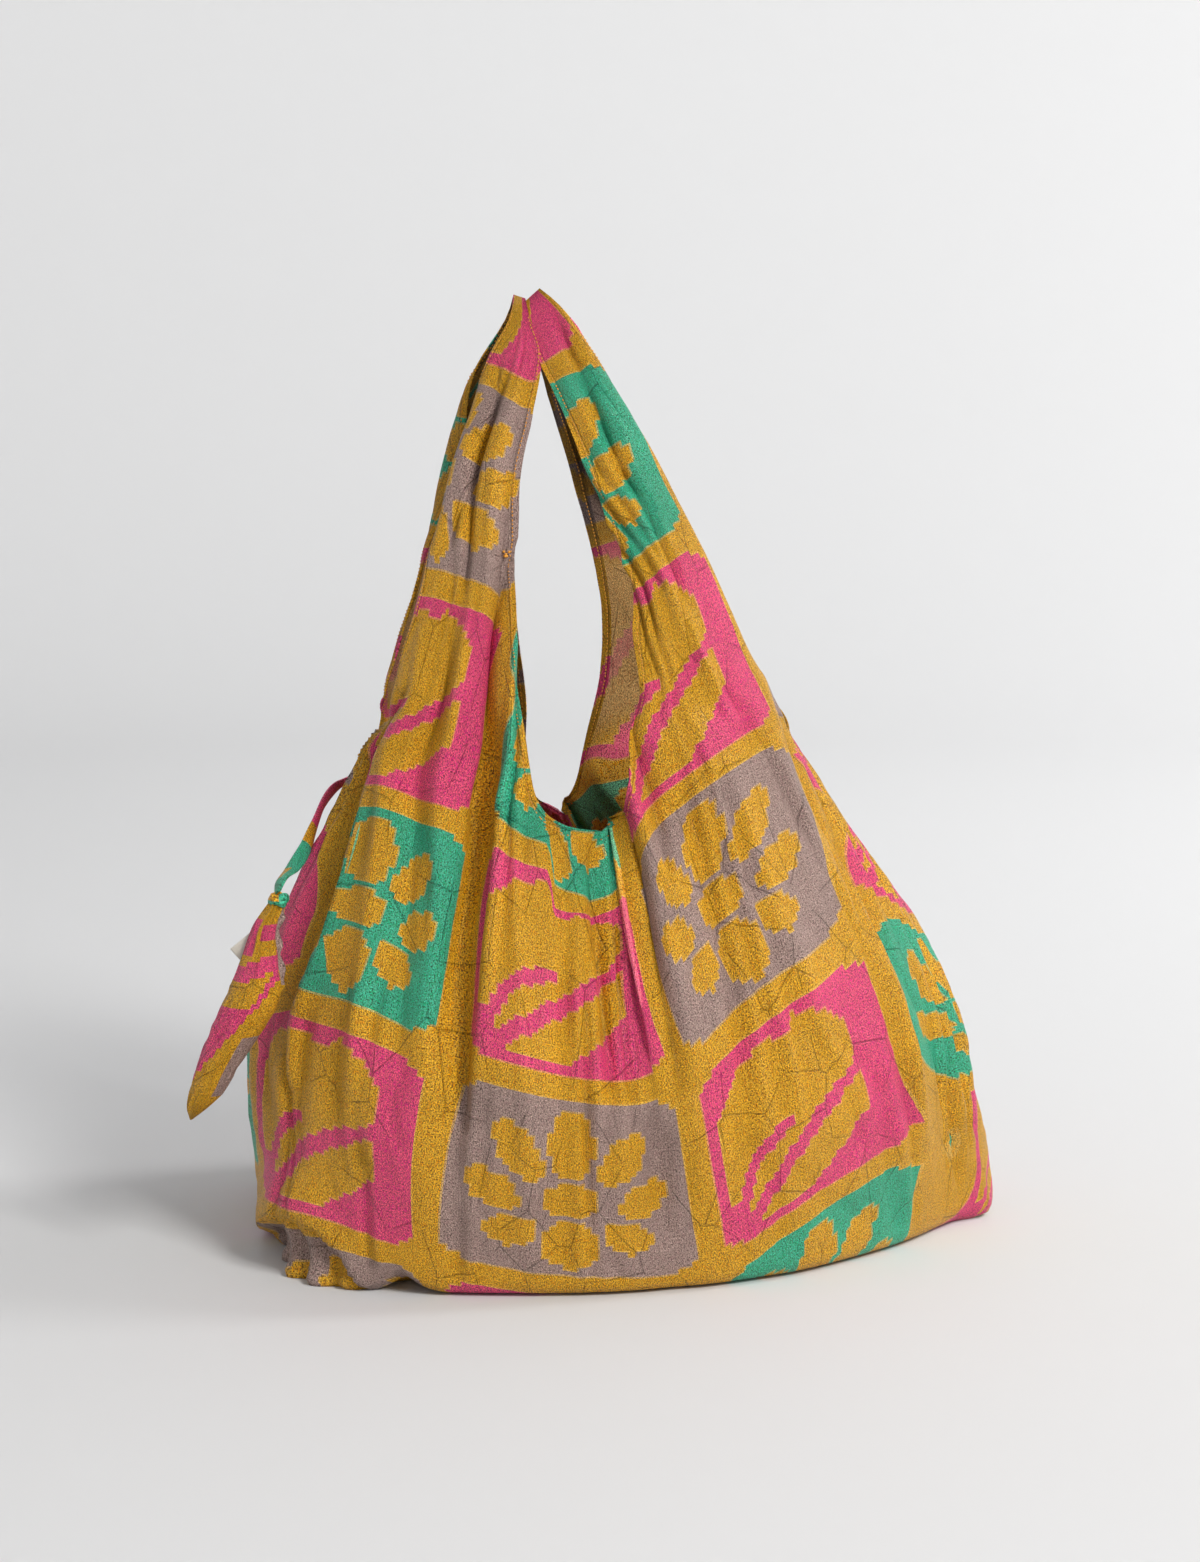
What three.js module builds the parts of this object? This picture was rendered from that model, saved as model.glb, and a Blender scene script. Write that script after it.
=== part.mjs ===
// A soft shopping bag of printed silk, standing filled out with its two handles drawn up to points. It is sewn
// from a front and a back panel, each cut in one with its two straps, and carries a small pouch on a cloth tie.
// Millimetres, +Z up, the front facing -Y. On the flat cloth, s runs across a panel from its centre line and v
// runs up it from the print row that meets the floor at the front.
import * as THREE from 'three';

// Driving dimensions
const CLOTH = 2;
const SEAM_GAP = 0.3;
const HALF_WIDTH = 385;
const THROAT = 288;
const STRAP_BLEND = 352;
const STRAP_TOP = 580;
const FLOOR_ROUND = 12;
const FOOT_MIDDLE_X = 12;
const STRAP_ROLL = 26;
const TIE = { width: 11, thickness: 1.5 };
const LABEL = { length: 22, width: 11, thickness: 1, turn: -40, place: [-222.3, -95.2, 208.6] };
const CENTRE = new THREE.Vector3(-3.3, 3.45, 0);

// Grid steps: rows in the base, heights of the rows near the floor, rows above them, rows up a strap and how much
// closer they stand near the throat, steps round a strap's roll and steps along the tie
const BASE_ROWS = 4;
const FLOOR_HEIGHTS = [3.5, 10, 19, 34, 54];
const BODY_ROWS = 10;
const STRAP_ROWS = 17;
const STRAP_CLOSENESS = 1.35;
const ROLL_STEPS = 12;
const TIE_STEPS = 20;

const clamp = THREE.MathUtils.clamp;
const lerp = THREE.MathUtils.lerp;
const ease = THREE.MathUtils.smoothstep;
const mapped = THREE.MathUtils.mapLinear;
const radians = THREE.MathUtils.degToRad;

// Rows of numbers become objects with the columns' names
function table(columns, rows) {
  return rows.map((row) => Object.fromEntries(columns.map((name, i) => [name, row[i]])));
}

// A smooth curve through one column of a table, read at a value of its first column
function along(rows, key, column) {
  const at = rows.map((row) => row[key]);
  const value = rows.map((row) => row[column]);
  const last = rows.length - 1;
  const slope = rows.map((row, i) => {
    const before = Math.max(i - 1, 0);
    const after = Math.min(i + 1, last);
    return (value[after] - value[before]) / (at[after] - at[before]);
  });
  return (x) => {
    const held = clamp(x, at[0], at[last]);
    let i = 0;
    while (i < last - 1 && held > at[i + 1]) i += 1;
    const span = at[i + 1] - at[i];
    const t = (held - at[i]) / span;
    const t2 = t * t;
    const t3 = t2 * t;
    return (
      value[i] * (2 * t3 - 3 * t2 + 1) +
      value[i + 1] * (3 * t2 - 2 * t3) +
      span * (slope[i] * (t3 - 2 * t2 + t) + slope[i + 1] * (t3 - t2))
    );
  };
}

function curves(rows, key) {
  const names = Object.keys(rows[0]).filter((name) => name !== key);
  const made = names.map((name) => [name, along(rows, key, name)]);
  return (x) => Object.fromEntries(made.map(([name, curve]) => [name, curve(x)]));
}

// The cut edges above the throat: the neck edge and the armhole edge, both measured from the centre line
const cutAt = curves(
  table(
    ['v', 'neck', 'arm'],
    [
      [288, 0, 385],
      [292, 34, 362],
      [302, 62, 330],
      [320, 80, 298],
      [345, 90, 272],
      [400, 108, 250],
      [450, 134, 240],
      [490, 149, 237],
      [580, 149, 237],
    ],
  ),
  'v',
);

// Lengthwise lines of the cloth, from the left seam to the right one. Each stands on the floor, bends at its
// belly, a share of its height, and ends at the height of the throat; lift is how far up the cloth the print row
// lies at the floor. On the front, a pleat hides cloth under the left arm and a fold hangs right of the throat.
const LINE = ['s', 'lift', 'xFloor', 'yFloor', 'belly', 'xBelly', 'yBelly', 'xTop', 'yTop', 'zTop'];
const frontAt = curves(
  table(LINE, [
    [-385, 48, -221, 28, 0.5, -221, 30, -150, 22, 296],
    [-340, 44, -225, -26, 0.5, -228, -24, -159, -8, 312],
    [-299, 31, -214, -80, 0.5, -217, -64, -158, -40, 318],
    [-270, 30, -199, -120, 0.5, -208, -82, -149, -52, 318],
    [-250, 31, -187, -137, 0.5, -202, -93, -141, -58, 317],
    [-238, 32, -179, -144, 0.5, -199, -100, -140, -66, 315],
    [-229, 33, -172, -150, 0.5, -195, -108, -148, -78, 314],
    [-216, 32, -162, -155, 0.48, -182, -120, -141, -84, 312],
    [-180, 27, -136, -166, 0.45, -148, -146, -118, -95, 304],
    [-137, 21, -106, -171, 0.45, -112, -165, -84, -104, 294],
    [-121, 19, -92, -172, 0.45, -92, -163, -70, -98, 291],
    [-100, 16, -74, -173, 0.45, -72, -172, -60, -104, 287],
    [-60, 10, -34, -174, 0.45, -34, -174, -36, -110, 282],
    [-24, 9, 0, -172, 0.45, -4, -172, -12, -110, 281],
    [6, 10, 28, -167, 0.45, 20, -166, 4, -98, 282],
    [28, 12, 48, -161, 0.45, 34, -158, 8, -92, 286],
    [48, 16, 68, -156, 0.45, 50, -162, 18, -106, 289],
    [80, 32, 98, -143, 0.45, 80, -154, 38, -103, 302],
    [126, 51, 136, -122, 0.44, 124, -136, 66, -92, 320],
    [206, 77, 197, -68, 0.43, 188, -90, 120, -62, 338],
    [296, 94, 243, -10, 0.48, 226, -28, 128, -18, 334],
    [342, 98, 270, 8, 0.5, 234, 10, 131, 8, 322],
    [385, 100, 262, 40, 0.46, 234, 42, 136, 25, 304],
  ]),
  's',
);
const backAt = curves(
  table(LINE, [
    [-385, 48, -221, 28, 0.5, -221, 30, -150, 22, 296],
    [-300, 36, -212, 98, 0.5, -209, 92, -148, 50, 316],
    [-250, 30, -192, 124, 0.5, -186, 118, -142, 66, 316],
    [-200, 26, -162, 144, 0.48, -156, 128, -116, 64, 314],
    [-150, 20, -122, 152, 0.46, -116, 150, -92, 80, 302],
    [-95, 14, -72, 166, 0.45, -74, 156, -66, 78, 284],
    [-41, 10, -20, 168, 0.45, -26, 166, -44, 88, 270],
    [0, 10, 20, 169, 0.45, 16, 160, -24, 80, 264],
    [41, 10, 60, 166, 0.45, 54, 164, -6, 86, 270],
    [95, 20, 112, 162, 0.45, 102, 148, 24, 76, 290],
    [150, 36, 160, 148, 0.44, 150, 142, 66, 80, 314],
    [211, 60, 205, 132, 0.43, 194, 118, 110, 60, 334],
    [300, 85, 250, 90, 0.45, 228, 84, 128, 46, 326],
    [385, 100, 262, 40, 0.46, 234, 42, 136, 25, 304],
  ]),
  's',
);

// The wall at the front left corner slumps over its own foot: how far out it stands at each height, along the
// cloth round the line where it slumps most
const SLUMP = { line: -262, reach: 84, power: 4 };
const slumpAt = along(
  table(
    ['z', 'out'],
    [
      [0, 1],
      [9, 0],
      [18, -8],
      [34, 8],
      [54, 6],
      [95, 0],
      [120, 0],
    ],
  ),
  'z',
  'out',
);

// The bottom seam under the base, from end to end
const SEAM_X = [-172, 208];
const SEAM_BOW = 35;

// Straps. Each row places the neck edge and the fold edge at a height v of the flat cloth; fold is where the
// cloth folds over, bow how far it rounds out between the two, and curl the angle that the rest rolls through.
const STATION = ['v', 'neckX', 'neckY', 'neckZ', 'foldX', 'foldY', 'foldZ', 'fold', 'bow', 'curl'];
const STRAPS = {
  frontLeft: [
    [288, -25, -104, 288, -148, -78, 304, 229, 2, 60],
    [310, -37, -96, 318, -141, -80, 333, 236, 8, 110],
    [340, -51, -86, 358, -133, -76, 360, 244, 9, 150],
    [372, -55, -72, 392, -124, -66, 394, 243, 8, 165],
    [405, -55, -58, 422, -115, -56, 429, 237, 7, 165],
    [475, -52, -34, 499, -96, -30, 505, 202, 6, 172],
    [520, -44, -22, 542, -83, -18, 547, 212, 5, 172],
    [553, -39, -12, 579, -71, -9, 580, 226, 3, 140],
    [570, -46, -5, 599, -60, -4, 603, 234, 1, 50],
    [580, -49.4, -0.15, 614.5, -56, -0.15, 617, 237, 0, 0],
  ],
  frontRight: [
    [288, 13, -106, 284, 122, -62, 338, 206, 2, 40],
    [310, 17, -97, 331, 112, -64, 360, 206, 8, 90],
    [340, 23, -86, 368, 100, -64, 385, 206, 9, 130],
    [372, 22, -72, 399, 86, -60, 416, 206, 8, 155],
    [405, 20, -58, 434, 68, -54, 454, 206, 7, 165],
    [475, -6, -34, 501, 33, -36, 518, 206, 6, 172],
    [520, -25, -22, 547, 8, -24, 560, 214, 5, 172],
    [553, -38, -13, 576, -14, -13, 592, 226, 3, 140],
    [570, -45, -5, 596, -28, -5, 611, 234, 1, 50],
    [580, -46.6, -0.15, 613, -39, -0.15, 621, 237, 0, 0],
  ],
  backLeft: [
    [288, -25, 82, 272, -146, 64, 306, 229, 2, 40],
    [310, -38, 80, 308, -143, 68, 332, 232, 8, 70],
    [340, -50, 74, 350, -139, 70, 356, 236, 8, 100],
    [372, -56, 62, 390, -129, 63, 392, 236, 7, 130],
    [405, -60, 50, 424, -118, 54, 428, 232, 6, 150],
    [475, -60, 30, 496, -100, 34, 500, 202, 5, 165],
    [520, -52, 19, 545, -86, 21, 549, 212, 4, 165],
    [553, -44, 11, 579, -71, 12, 580, 226, 2, 140],
    [570, -47, 5, 599, -60, 5, 603, 234, 1, 50],
    [580, -49.4, 0.15, 614.5, -56, 0.15, 617, 237, 0, 0],
  ],
  backRight: [
    [288, -20, 82, 268, 112, 62, 334, 215, 2, 40],
    [310, -8, 80, 306, 104, 68, 354, 224, 8, 90],
    [340, -3, 73, 345, 92, 68, 376, 226, 8, 140],
    [372, 2, 64, 392, 78, 64, 410, 220, 6, 165],
    [405, -1, 54, 428, 58, 56, 446, 210, 5, 172],
    [475, -18, 35, 498, 20, 39, 510, 192, 4, 174],
    [520, -32, 22, 545, 0, 25, 557, 200, 4, 172],
    [553, -40, 12, 576, -16, 14, 590, 222, 2, 140],
    [570, -45, 5, 596, -28, 5, 611, 234, 1, 50],
    [580, -46.6, 0.15, 613, -39, 0.15, 621, 237, 0, 0],
  ],
};
const strapAt = Object.fromEntries(
  Object.entries(STRAPS).map(([name, rows]) => [name, curves(table(STATION, rows), 'v')]),
);

// Columns of a half panel stand evenly between these lines. Above the throat they close up towards the strap: the
// crease stays where it is until the neck edge comes near, and the fold line turns into the strap's fold edge.
const panels = {
  front: {
    side: -1,
    linesAt: frontAt,
    halves: [
      {
        hand: -1,
        strap: strapAt.frontLeft,
        lines: [0, 60, 121, 137, 229, 250, 385],
        steps: [3, 4, 1, 5, 3, 6],
        crease: 129,
        fold: 229,
        least: 0.22,
      },
      {
        hand: 1,
        strap: strapAt.frontRight,
        lines: [0, 48, 80, 206, 385],
        steps: [4, 2, 5, 8],
        crease: 80,
        fold: 206,
        least: 0.1,
      },
    ],
  },
  back: {
    side: 1,
    linesAt: backAt,
    halves: [
      {
        hand: -1,
        strap: strapAt.backLeft,
        lines: [0, 95, 229, 385],
        steps: [4, 5, 6],
        crease: 95,
        fold: 229,
        least: 0.15,
      },
      {
        hand: 1,
        strap: strapAt.backRight,
        lines: [0, 95, 215, 385],
        steps: [4, 5, 6],
        crease: 95,
        fold: 215,
        least: 0.15,
      },
    ],
  },
};

function columnsOf({ lines, steps }) {
  const columns = [0];
  steps.forEach((count, k) => {
    for (let i = 1; i <= count; i += 1) columns.push(lerp(lines[k], lines[k + 1], i / count));
  });
  return columns;
}

function closedUp(s, { crease, fold, least }, cut, folded) {
  const creased = Math.max(crease, lerp(cut.neck, folded, least));
  if (s <= crease) return mapped(s, 0, crease, cut.neck, creased);
  if (s <= fold) return mapped(s, crease, fold, creased, folded);
  return mapped(s, fold, HALF_WIDTH, folded, cut.arm);
}

// A line bends smoothly through its three places and runs on straight above the last
function bend(low, belly, top, share, r) {
  const rise = [(belly - low) / share, top - low, (top - belly) / (1 - share)];
  if (r > 1) return top + rise[2] * (r - 1);
  const upper = r > share;
  const span = upper ? 1 - share : share;
  const t = (upper ? r - share : r) / span;
  const [from, to] = upper ? [belly, top] : [low, belly];
  const [start, end] = upper ? [rise[1], rise[2]] : [rise[0], rise[1]];
  const t2 = t * t;
  const t3 = t2 * t;
  return (
    from * (2 * t3 - 3 * t2 + 1) +
    to * (3 * t2 - 2 * t3) +
    span * (start * (t3 - 2 * t2 + t) + end * (t3 - t2))
  );
}

// A body line's place at a fraction r of its height. Near the floor the wall turns under in a small round.
function bodyPoint(linesAt, s, r) {
  const line = linesAt(s);
  const point = new THREE.Vector3(
    bend(line.xFloor, line.xBelly, line.xTop, line.belly, r),
    bend(line.yFloor, line.yBelly, line.yTop, line.belly, r),
    line.zTop * r,
  );
  const outward = new THREE.Vector3(line.xFloor - FOOT_MIDDLE_X, line.yFloor, 0).normalize();
  if (linesAt === frontAt) {
    const near = Math.exp(-(((s - SLUMP.line) / SLUMP.reach) ** SLUMP.power));
    point.addScaledVector(outward, near * slumpAt(point.z));
  }
  if (point.z < FLOOR_ROUND) {
    const drop = FLOOR_ROUND - point.z;
    point.addScaledVector(outward, Math.sqrt(FLOOR_ROUND ** 2 - drop ** 2) - FLOOR_ROUND);
  }
  return point;
}

// A strap's place: flat and a little rounded from the neck edge to the fold, then rolled back inside
function strapPoint(strap, side, v, s) {
  const row = strap(v);
  const neck = new THREE.Vector3(row.neckX, row.neckY, row.neckZ);
  const fold = new THREE.Vector3(row.foldX, row.foldY, row.foldZ);
  const width = neck.distanceTo(fold);
  const flat = row.fold - cutAt(v).neck;
  const t = (s - cutAt(v).neck) / flat;
  const away = new THREE.Vector3(0, side, 0);
  if (t <= 1) return neck.lerp(fold, t).addScaledVector(away, 4 * row.bow * t * (1 - t));
  const outward = fold.clone().sub(neck).normalize();
  const draw = Math.min(1, width / flat);
  const first = Math.atan2(4 * row.bow, width);
  const step = (s - row.fold) / ROLL_STEPS;
  for (let i = 0; i < ROLL_STEPS; i += 1) {
    const heading = lerp(first, radians(row.curl), ease((i + 0.5) * step, 0, STRAP_ROLL));
    fold.addScaledVector(outward, Math.cos(heading) * step * draw);
    fold.addScaledVector(away, -Math.sin(heading) * step * draw);
  }
  return fold;
}

function bottomSeam(s, side) {
  const t = (s / HALF_WIDTH + 1) / 2;
  const y = lerp(frontAt(-HALF_WIDTH).yFloor, frontAt(HALF_WIDTH).yFloor, t);
  const bow = SEAM_BOW * (1 - (s / HALF_WIDTH) ** 2);
  return new THREE.Vector3(lerp(SEAM_X[0], SEAM_X[1], t), y - bow + side * SEAM_GAP, 0);
}

// One panel as a grid of points: rows from the bottom seam up through the base and the body, then up each strap.
// Fixed points are given the direction in which the cloth is thick there.
function panelGrid({ side, linesAt, halves }) {
  const points = [];
  const fixed = new Map();
  const quads = [];
  const add = (point) => points.push(point) - 1;
  const spread = halves.map(columnsOf);
  const across = [...spread[0].slice(1).reverse().map((s) => -s), ...spread[1]];
  const centre = spread[0].length - 1;
  const bodyRow = (place, thick) => {
    const row = across.map((s) => add(place(s)));
    for (const id of [row[0], row[row.length - 1]]) {
      points[id].y += (side * SEAM_GAP) / 2;
      fixed.set(id, 'seam');
    }
    if (thick) row.forEach((id) => fixed.set(id, thick));
    return row;
  };
  const rows = [];
  for (let i = 0; i <= BASE_ROWS; i += 1) {
    const place = (s) => bottomSeam(s, side).lerp(bodyPoint(linesAt, s, 0), i / BASE_ROWS).setZ(CLOTH / 2);
    rows.push(bodyRow(place, 'base'));
  }
  const low = FLOOR_HEIGHTS[FLOOR_HEIGHTS.length - 1];
  for (const height of FLOOR_HEIGHTS) {
    rows.push(bodyRow((s) => bodyPoint(linesAt, s, height / linesAt(s).zTop)));
  }
  for (let i = 1; i <= BODY_ROWS; i += 1) {
    rows.push(bodyRow((s) => bodyPoint(linesAt, s, lerp(low / linesAt(s).zTop, 1, i / BODY_ROWS))));
  }
  for (let i = 1; i < rows.length; i += 1) {
    for (let j = 0; j < across.length - 1; j += 1) {
      quads.push([rows[i - 1][j], rows[i - 1][j + 1], rows[i][j + 1], rows[i][j]]);
    }
  }
  const throatRow = rows[rows.length - 1];
  halves.forEach((half, k) => {
    const { hand, strap } = half;
    let below = spread[k].map((s, j) => throatRow[centre + hand * j]);
    for (let i = 1; i <= STRAP_ROWS; i += 1) {
      const v = lerp(THROAT, STRAP_TOP, (i / STRAP_ROWS) ** STRAP_CLOSENESS);
      const cut = cutAt(v);
      const row = spread[k].map((s) => {
        const at = closedUp(s, half, cut, strap(v).fold);
        const lift = linesAt(hand * at).lift;
        const body = bodyPoint(linesAt, hand * at, (v + lift) / (THROAT + lift));
        return add(body.lerp(strapPoint(strap, side, v, at), ease(v, THROAT, STRAP_BLEND)));
      });
      if (i === STRAP_ROWS) {
        const width = points[row[row.length - 1]].clone().sub(points[row[0]]);
        const thick = new THREE.Vector3(-hand * width.z, 0, hand * width.x).normalize();
        row.forEach((id) => fixed.set(id, thick));
      }
      for (let j = 0; j < spread[k].length - 1; j += 1) {
        const quad = [below[j], below[j + 1], row[j + 1], row[j]];
        quads.push(hand > 0 ? quad : quad.reverse());
      }
      below = row;
    }
  });
  if (side > 0) quads.forEach((quad) => quad.reverse());
  return { points, quads, fixed };
}

// A sheet thickened to both sides of its grid, closed round its edges
function sheet({ points, quads, fixed = new Map() }, thickness) {
  const normals = points.map(() => new THREE.Vector3());
  const edge = new THREE.Vector3();
  const other = new THREE.Vector3();
  for (const quad of quads) {
    edge.subVectors(points[quad[2]], points[quad[0]]);
    other.subVectors(points[quad[3]], points[quad[1]]);
    const face = edge.clone().cross(other);
    for (const id of quad) normals[id].add(face);
  }
  const outer = [];
  const inner = [];
  points.forEach((point, id) => {
    const normal = normals[id].normalize();
    if (fixed.get(id) === 'base') {
      outer.push(new THREE.Vector3(point.x, point.y, 0));
      inner.push(new THREE.Vector3(point.x, point.y, thickness));
      return;
    }
    if (fixed.get(id) === 'seam') normal.setY(0).normalize();
    if (fixed.get(id)?.isVector3) normal.copy(fixed.get(id));
    outer.push(point.clone().addScaledVector(normal, thickness / 2));
    inner.push(point.clone().addScaledVector(normal, -thickness / 2));
  });
  const size = points.length;
  const faces = [];
  const open = new Map();
  for (const [a, b, c, d] of quads) {
    faces.push([a, b, c], [a, c, d], [size + a, size + c, size + b], [size + a, size + d, size + c]);
    for (const [from, to] of [[a, b], [b, c], [c, d], [d, a]]) {
      if (!open.delete(`${to},${from}`)) open.set(`${from},${to}`, [from, to]);
    }
  }
  for (const [from, to] of open.values()) {
    faces.push([to, from, size + from], [to, size + from, size + to]);
  }
  return closed([...outer, ...inner], faces);
}

function closed(vertices, faces) {
  const geometry = new THREE.BufferGeometry();
  geometry.setAttribute('position', new THREE.Float32BufferAttribute(vertices.flatMap((p) => [p.x, p.y, p.z]), 3));
  geometry.setIndex(faces.flat());
  return geometry;
}

function piece(name, geometry, colour, roughness) {
  const material = new THREE.MeshStandardMaterial({ color: colour, roughness, metalness: 0 });
  const mesh = new THREE.Mesh(geometry, material);
  mesh.name = name;
  mesh.position.copy(CENTRE);
  return mesh;
}

// The pouch hangs from its top corner. Each row is a level section, pinched to a blunt edge in front, behind and
// at both sides.
const pouchAt = curves(
  table(
    ['z', 'x', 'y', 'wide', 'deep'],
    [
      [98, -259.5, -112, 0.8, 0.8],
      [105, -255.8, -112, 6, 5],
      [116, -249.2, -111, 11, 8],
      [131, -242.6, -110, 13, 10.5],
      [150, -233, -109, 16, 13],
      [169, -222.6, -109, 17.6, 14],
      [184, -217.3, -108, 16.2, 13.5],
      [201, -214.8, -106, 11.6, 10.5],
      [221, -211.5, -103, 7.6, 7],
      [232, -206, -100, 5.4, 5],
      [238, -204.4, -98, 3, 3],
    ],
  ),
  'z',
);
const POUCH = { low: 98, high: 238, rows: 16, sides: 16, pinch: 1.25 };

function pouch() {
  const points = [];
  const faces = [];
  const round = (value) => Math.sign(value) * Math.abs(value) ** POUCH.pinch;
  for (let i = 0; i <= POUCH.rows; i += 1) {
    const z = lerp(POUCH.low, POUCH.high, (1 - Math.cos((Math.PI * i) / POUCH.rows)) / 2);
    const row = pouchAt(z);
    for (let j = 0; j < POUCH.sides; j += 1) {
      const angle = (2 * Math.PI * j) / POUCH.sides;
      const x = row.x + row.wide * round(Math.cos(angle));
      points.push(new THREE.Vector3(x, row.y + row.deep * round(Math.sin(angle)), z));
    }
  }
  const place = (i, j) => i * POUCH.sides + (j % POUCH.sides);
  for (let j = 0; j < POUCH.sides; j += 1) {
    for (let i = 0; i < POUCH.rows; i += 1) {
      faces.push([place(i, j), place(i, j + 1), place(i + 1, j + 1)]);
      faces.push([place(i, j), place(i + 1, j + 1), place(i + 1, j)]);
    }
    if (j > 0 && j < POUCH.sides - 1) {
      faces.push([place(0, 0), place(0, j + 1), place(0, j)]);
      faces.push([place(POUCH.rows, 0), place(POUCH.rows, j), place(POUCH.rows, j + 1)]);
    }
  }
  return closed(points, faces);
}

// The tie is a flat strip from the top of the left side seam, round the corner of the bag, to the pouch's top
const tieAt = curves(
  table(
    ['at', 'x', 'y', 'z', 'wide'],
    [
      [0, -157, 19.5, 299, 1],
      [0.12, -164.5, 11, 300, 1],
      [0.24, -173, 0, 295, 1],
      [0.4, -182.5, -20, 286, 0.8],
      [0.54, -188.5, -37, 271, 0.55],
      [0.66, -192.5, -52, 261, 0.45],
      [0.8, -200, -70, 252, 0.7],
      [0.92, -205.5, -84, 247, 0.8],
      [1, -205, -96.2, 240.6, 0.5],
    ],
  ),
  'at',
);

function tie() {
  const places = [];
  for (let i = 0; i <= TIE_STEPS; i += 1) places.push(tieAt(i / TIE_STEPS));
  const middle = places.map((row) => new THREE.Vector3(row.x, row.y, row.z));
  const outward = new THREE.Vector3(-0.9, -0.35, 0.25);
  const points = [];
  const faces = [];
  middle.forEach((point, i) => {
    const before = middle[Math.max(i - 1, 0)];
    const after = middle[Math.min(i + 1, TIE_STEPS)];
    const forward = after.clone().sub(before).normalize();
    const across = forward.clone().cross(outward).normalize();
    const thick = across.clone().cross(forward).normalize();
    for (const [w, t] of [[-1, -1], [1, -1], [1, 1], [-1, 1]]) {
      const half = (w * TIE.width * places[i].wide) / 2;
      points.push(point.clone().addScaledVector(across, half).addScaledVector(thick, (t * TIE.thickness) / 2));
    }
  });
  for (let i = 0; i < TIE_STEPS; i += 1) {
    for (let j = 0; j < 4; j += 1) {
      const [a, b] = [4 * i + j, 4 * i + ((j + 1) % 4)];
      faces.push([a, b + 4, b], [a, a + 4, b + 4]);
    }
  }
  const last = 4 * TIE_STEPS;
  faces.push([0, 1, 2], [0, 2, 3], [last, last + 2, last + 1], [last, last + 3, last + 2]);
  return closed(points, faces);
}

// The label is a plain cloth tab that stands out from behind the pouch's left edge
function label() {
  const tab = new THREE.BoxGeometry(LABEL.length, LABEL.thickness, LABEL.width);
  tab.rotateY(radians(LABEL.turn));
  return tab.translate(...LABEL.place);
}

const bag = new THREE.Group();
bag.add(piece('front_panel', sheet(panelGrid(panels.front), CLOTH), 0xc99928, 0.5));
bag.add(piece('back_panel', sheet(panelGrid(panels.back), CLOTH), 0xc99928, 0.5));
bag.add(piece('pouch', pouch(), 0xb8405f, 0.45));
bag.add(piece('tie', tie(), 0x2f8f74, 0.5));
bag.add(piece('label', label(), 0xe9e2d2, 0.7));

export default bag;
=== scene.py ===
import math
from types import SimpleNamespace as Named

import bmesh
import bpy
import numpy as np
from mathutils import Matrix, Vector, noise


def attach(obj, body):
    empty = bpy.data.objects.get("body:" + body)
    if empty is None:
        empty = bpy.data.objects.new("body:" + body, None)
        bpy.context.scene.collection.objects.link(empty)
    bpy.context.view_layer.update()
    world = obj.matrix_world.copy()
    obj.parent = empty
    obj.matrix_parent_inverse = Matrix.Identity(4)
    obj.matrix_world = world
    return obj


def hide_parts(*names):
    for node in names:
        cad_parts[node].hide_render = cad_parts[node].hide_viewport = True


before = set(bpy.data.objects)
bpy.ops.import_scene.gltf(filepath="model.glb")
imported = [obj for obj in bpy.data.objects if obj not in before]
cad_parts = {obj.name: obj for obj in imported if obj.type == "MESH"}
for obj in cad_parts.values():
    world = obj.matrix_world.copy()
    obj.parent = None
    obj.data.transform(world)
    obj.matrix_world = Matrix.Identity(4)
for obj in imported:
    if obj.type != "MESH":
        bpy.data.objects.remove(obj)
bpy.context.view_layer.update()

# Studio
# A pale floor that turns up into a pale wall far outside the view, a broad soft light at the front right, a glow on
# the wall at the right and a pale sky. The camera stands two metres off and looks down on the bag a little.
MM = 0.001
CAMERA = Named(place=(-0.0033, -1.97355, 0.577), down=8, sensor=36, focal_in_heights=3016 / 1562)
SKY = Named(colour=(0.95, 0.965, 1.0), strength=0.43)
BAG_MIDDLE, WALL_MIDDLE = (0, 0, 0.3), (1.1, 4.2, 1.5)
#    name, watts, size, colour, place, aim
LIGHTS = (
    ("key", 112, 1.1, (1, 0.99, 0.975), (1.9, -2.4, 2.5), BAG_MIDDLE),
    ("wall_glow", 116, 1.6, (1, 1, 1), (2.9, 0.6, 2.6), WALL_MIDDLE),
)
FLOOR = Named(reach=4.2, cove=1.6, cove_steps=12, height=4.5, turn_steps=96)
PAPER = Named(grain=0.7, dark=0.66, pale=0.70, roughness=0.75, specular=0.25)

camera = bpy.data.objects.new("camera", bpy.data.cameras.new("camera"))
camera.data.sensor_width = CAMERA.sensor
camera.data.lens = CAMERA.sensor * CAMERA.focal_in_heights
camera.location = CAMERA.place
camera.rotation_euler = (math.radians(90 - CAMERA.down), 0, 0)
bpy.context.scene.collection.objects.link(camera)
bpy.context.scene.camera = camera

for name, watts, size, colour, place, aim in LIGHTS:
    lamp = bpy.data.lights.new(name, "AREA")
    lamp.energy, lamp.size, lamp.color = watts, size, colour
    lamp_object = bpy.data.objects.new(name, lamp)
    lamp_object.location = place
    lamp_object.rotation_euler = (Vector(aim) - Vector(place)).to_track_quat("-Z", "Y").to_euler()
    bpy.context.scene.collection.objects.link(lamp_object)

world = bpy.data.worlds.new("sky")
world.use_nodes = True
background = world.node_tree.nodes["Background"]
background.inputs["Color"].default_value = (*SKY.colour, 1)
background.inputs["Strength"].default_value = SKY.strength
bpy.context.scene.world = world
bpy.context.scene.view_settings.view_transform = "Standard"


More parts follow.
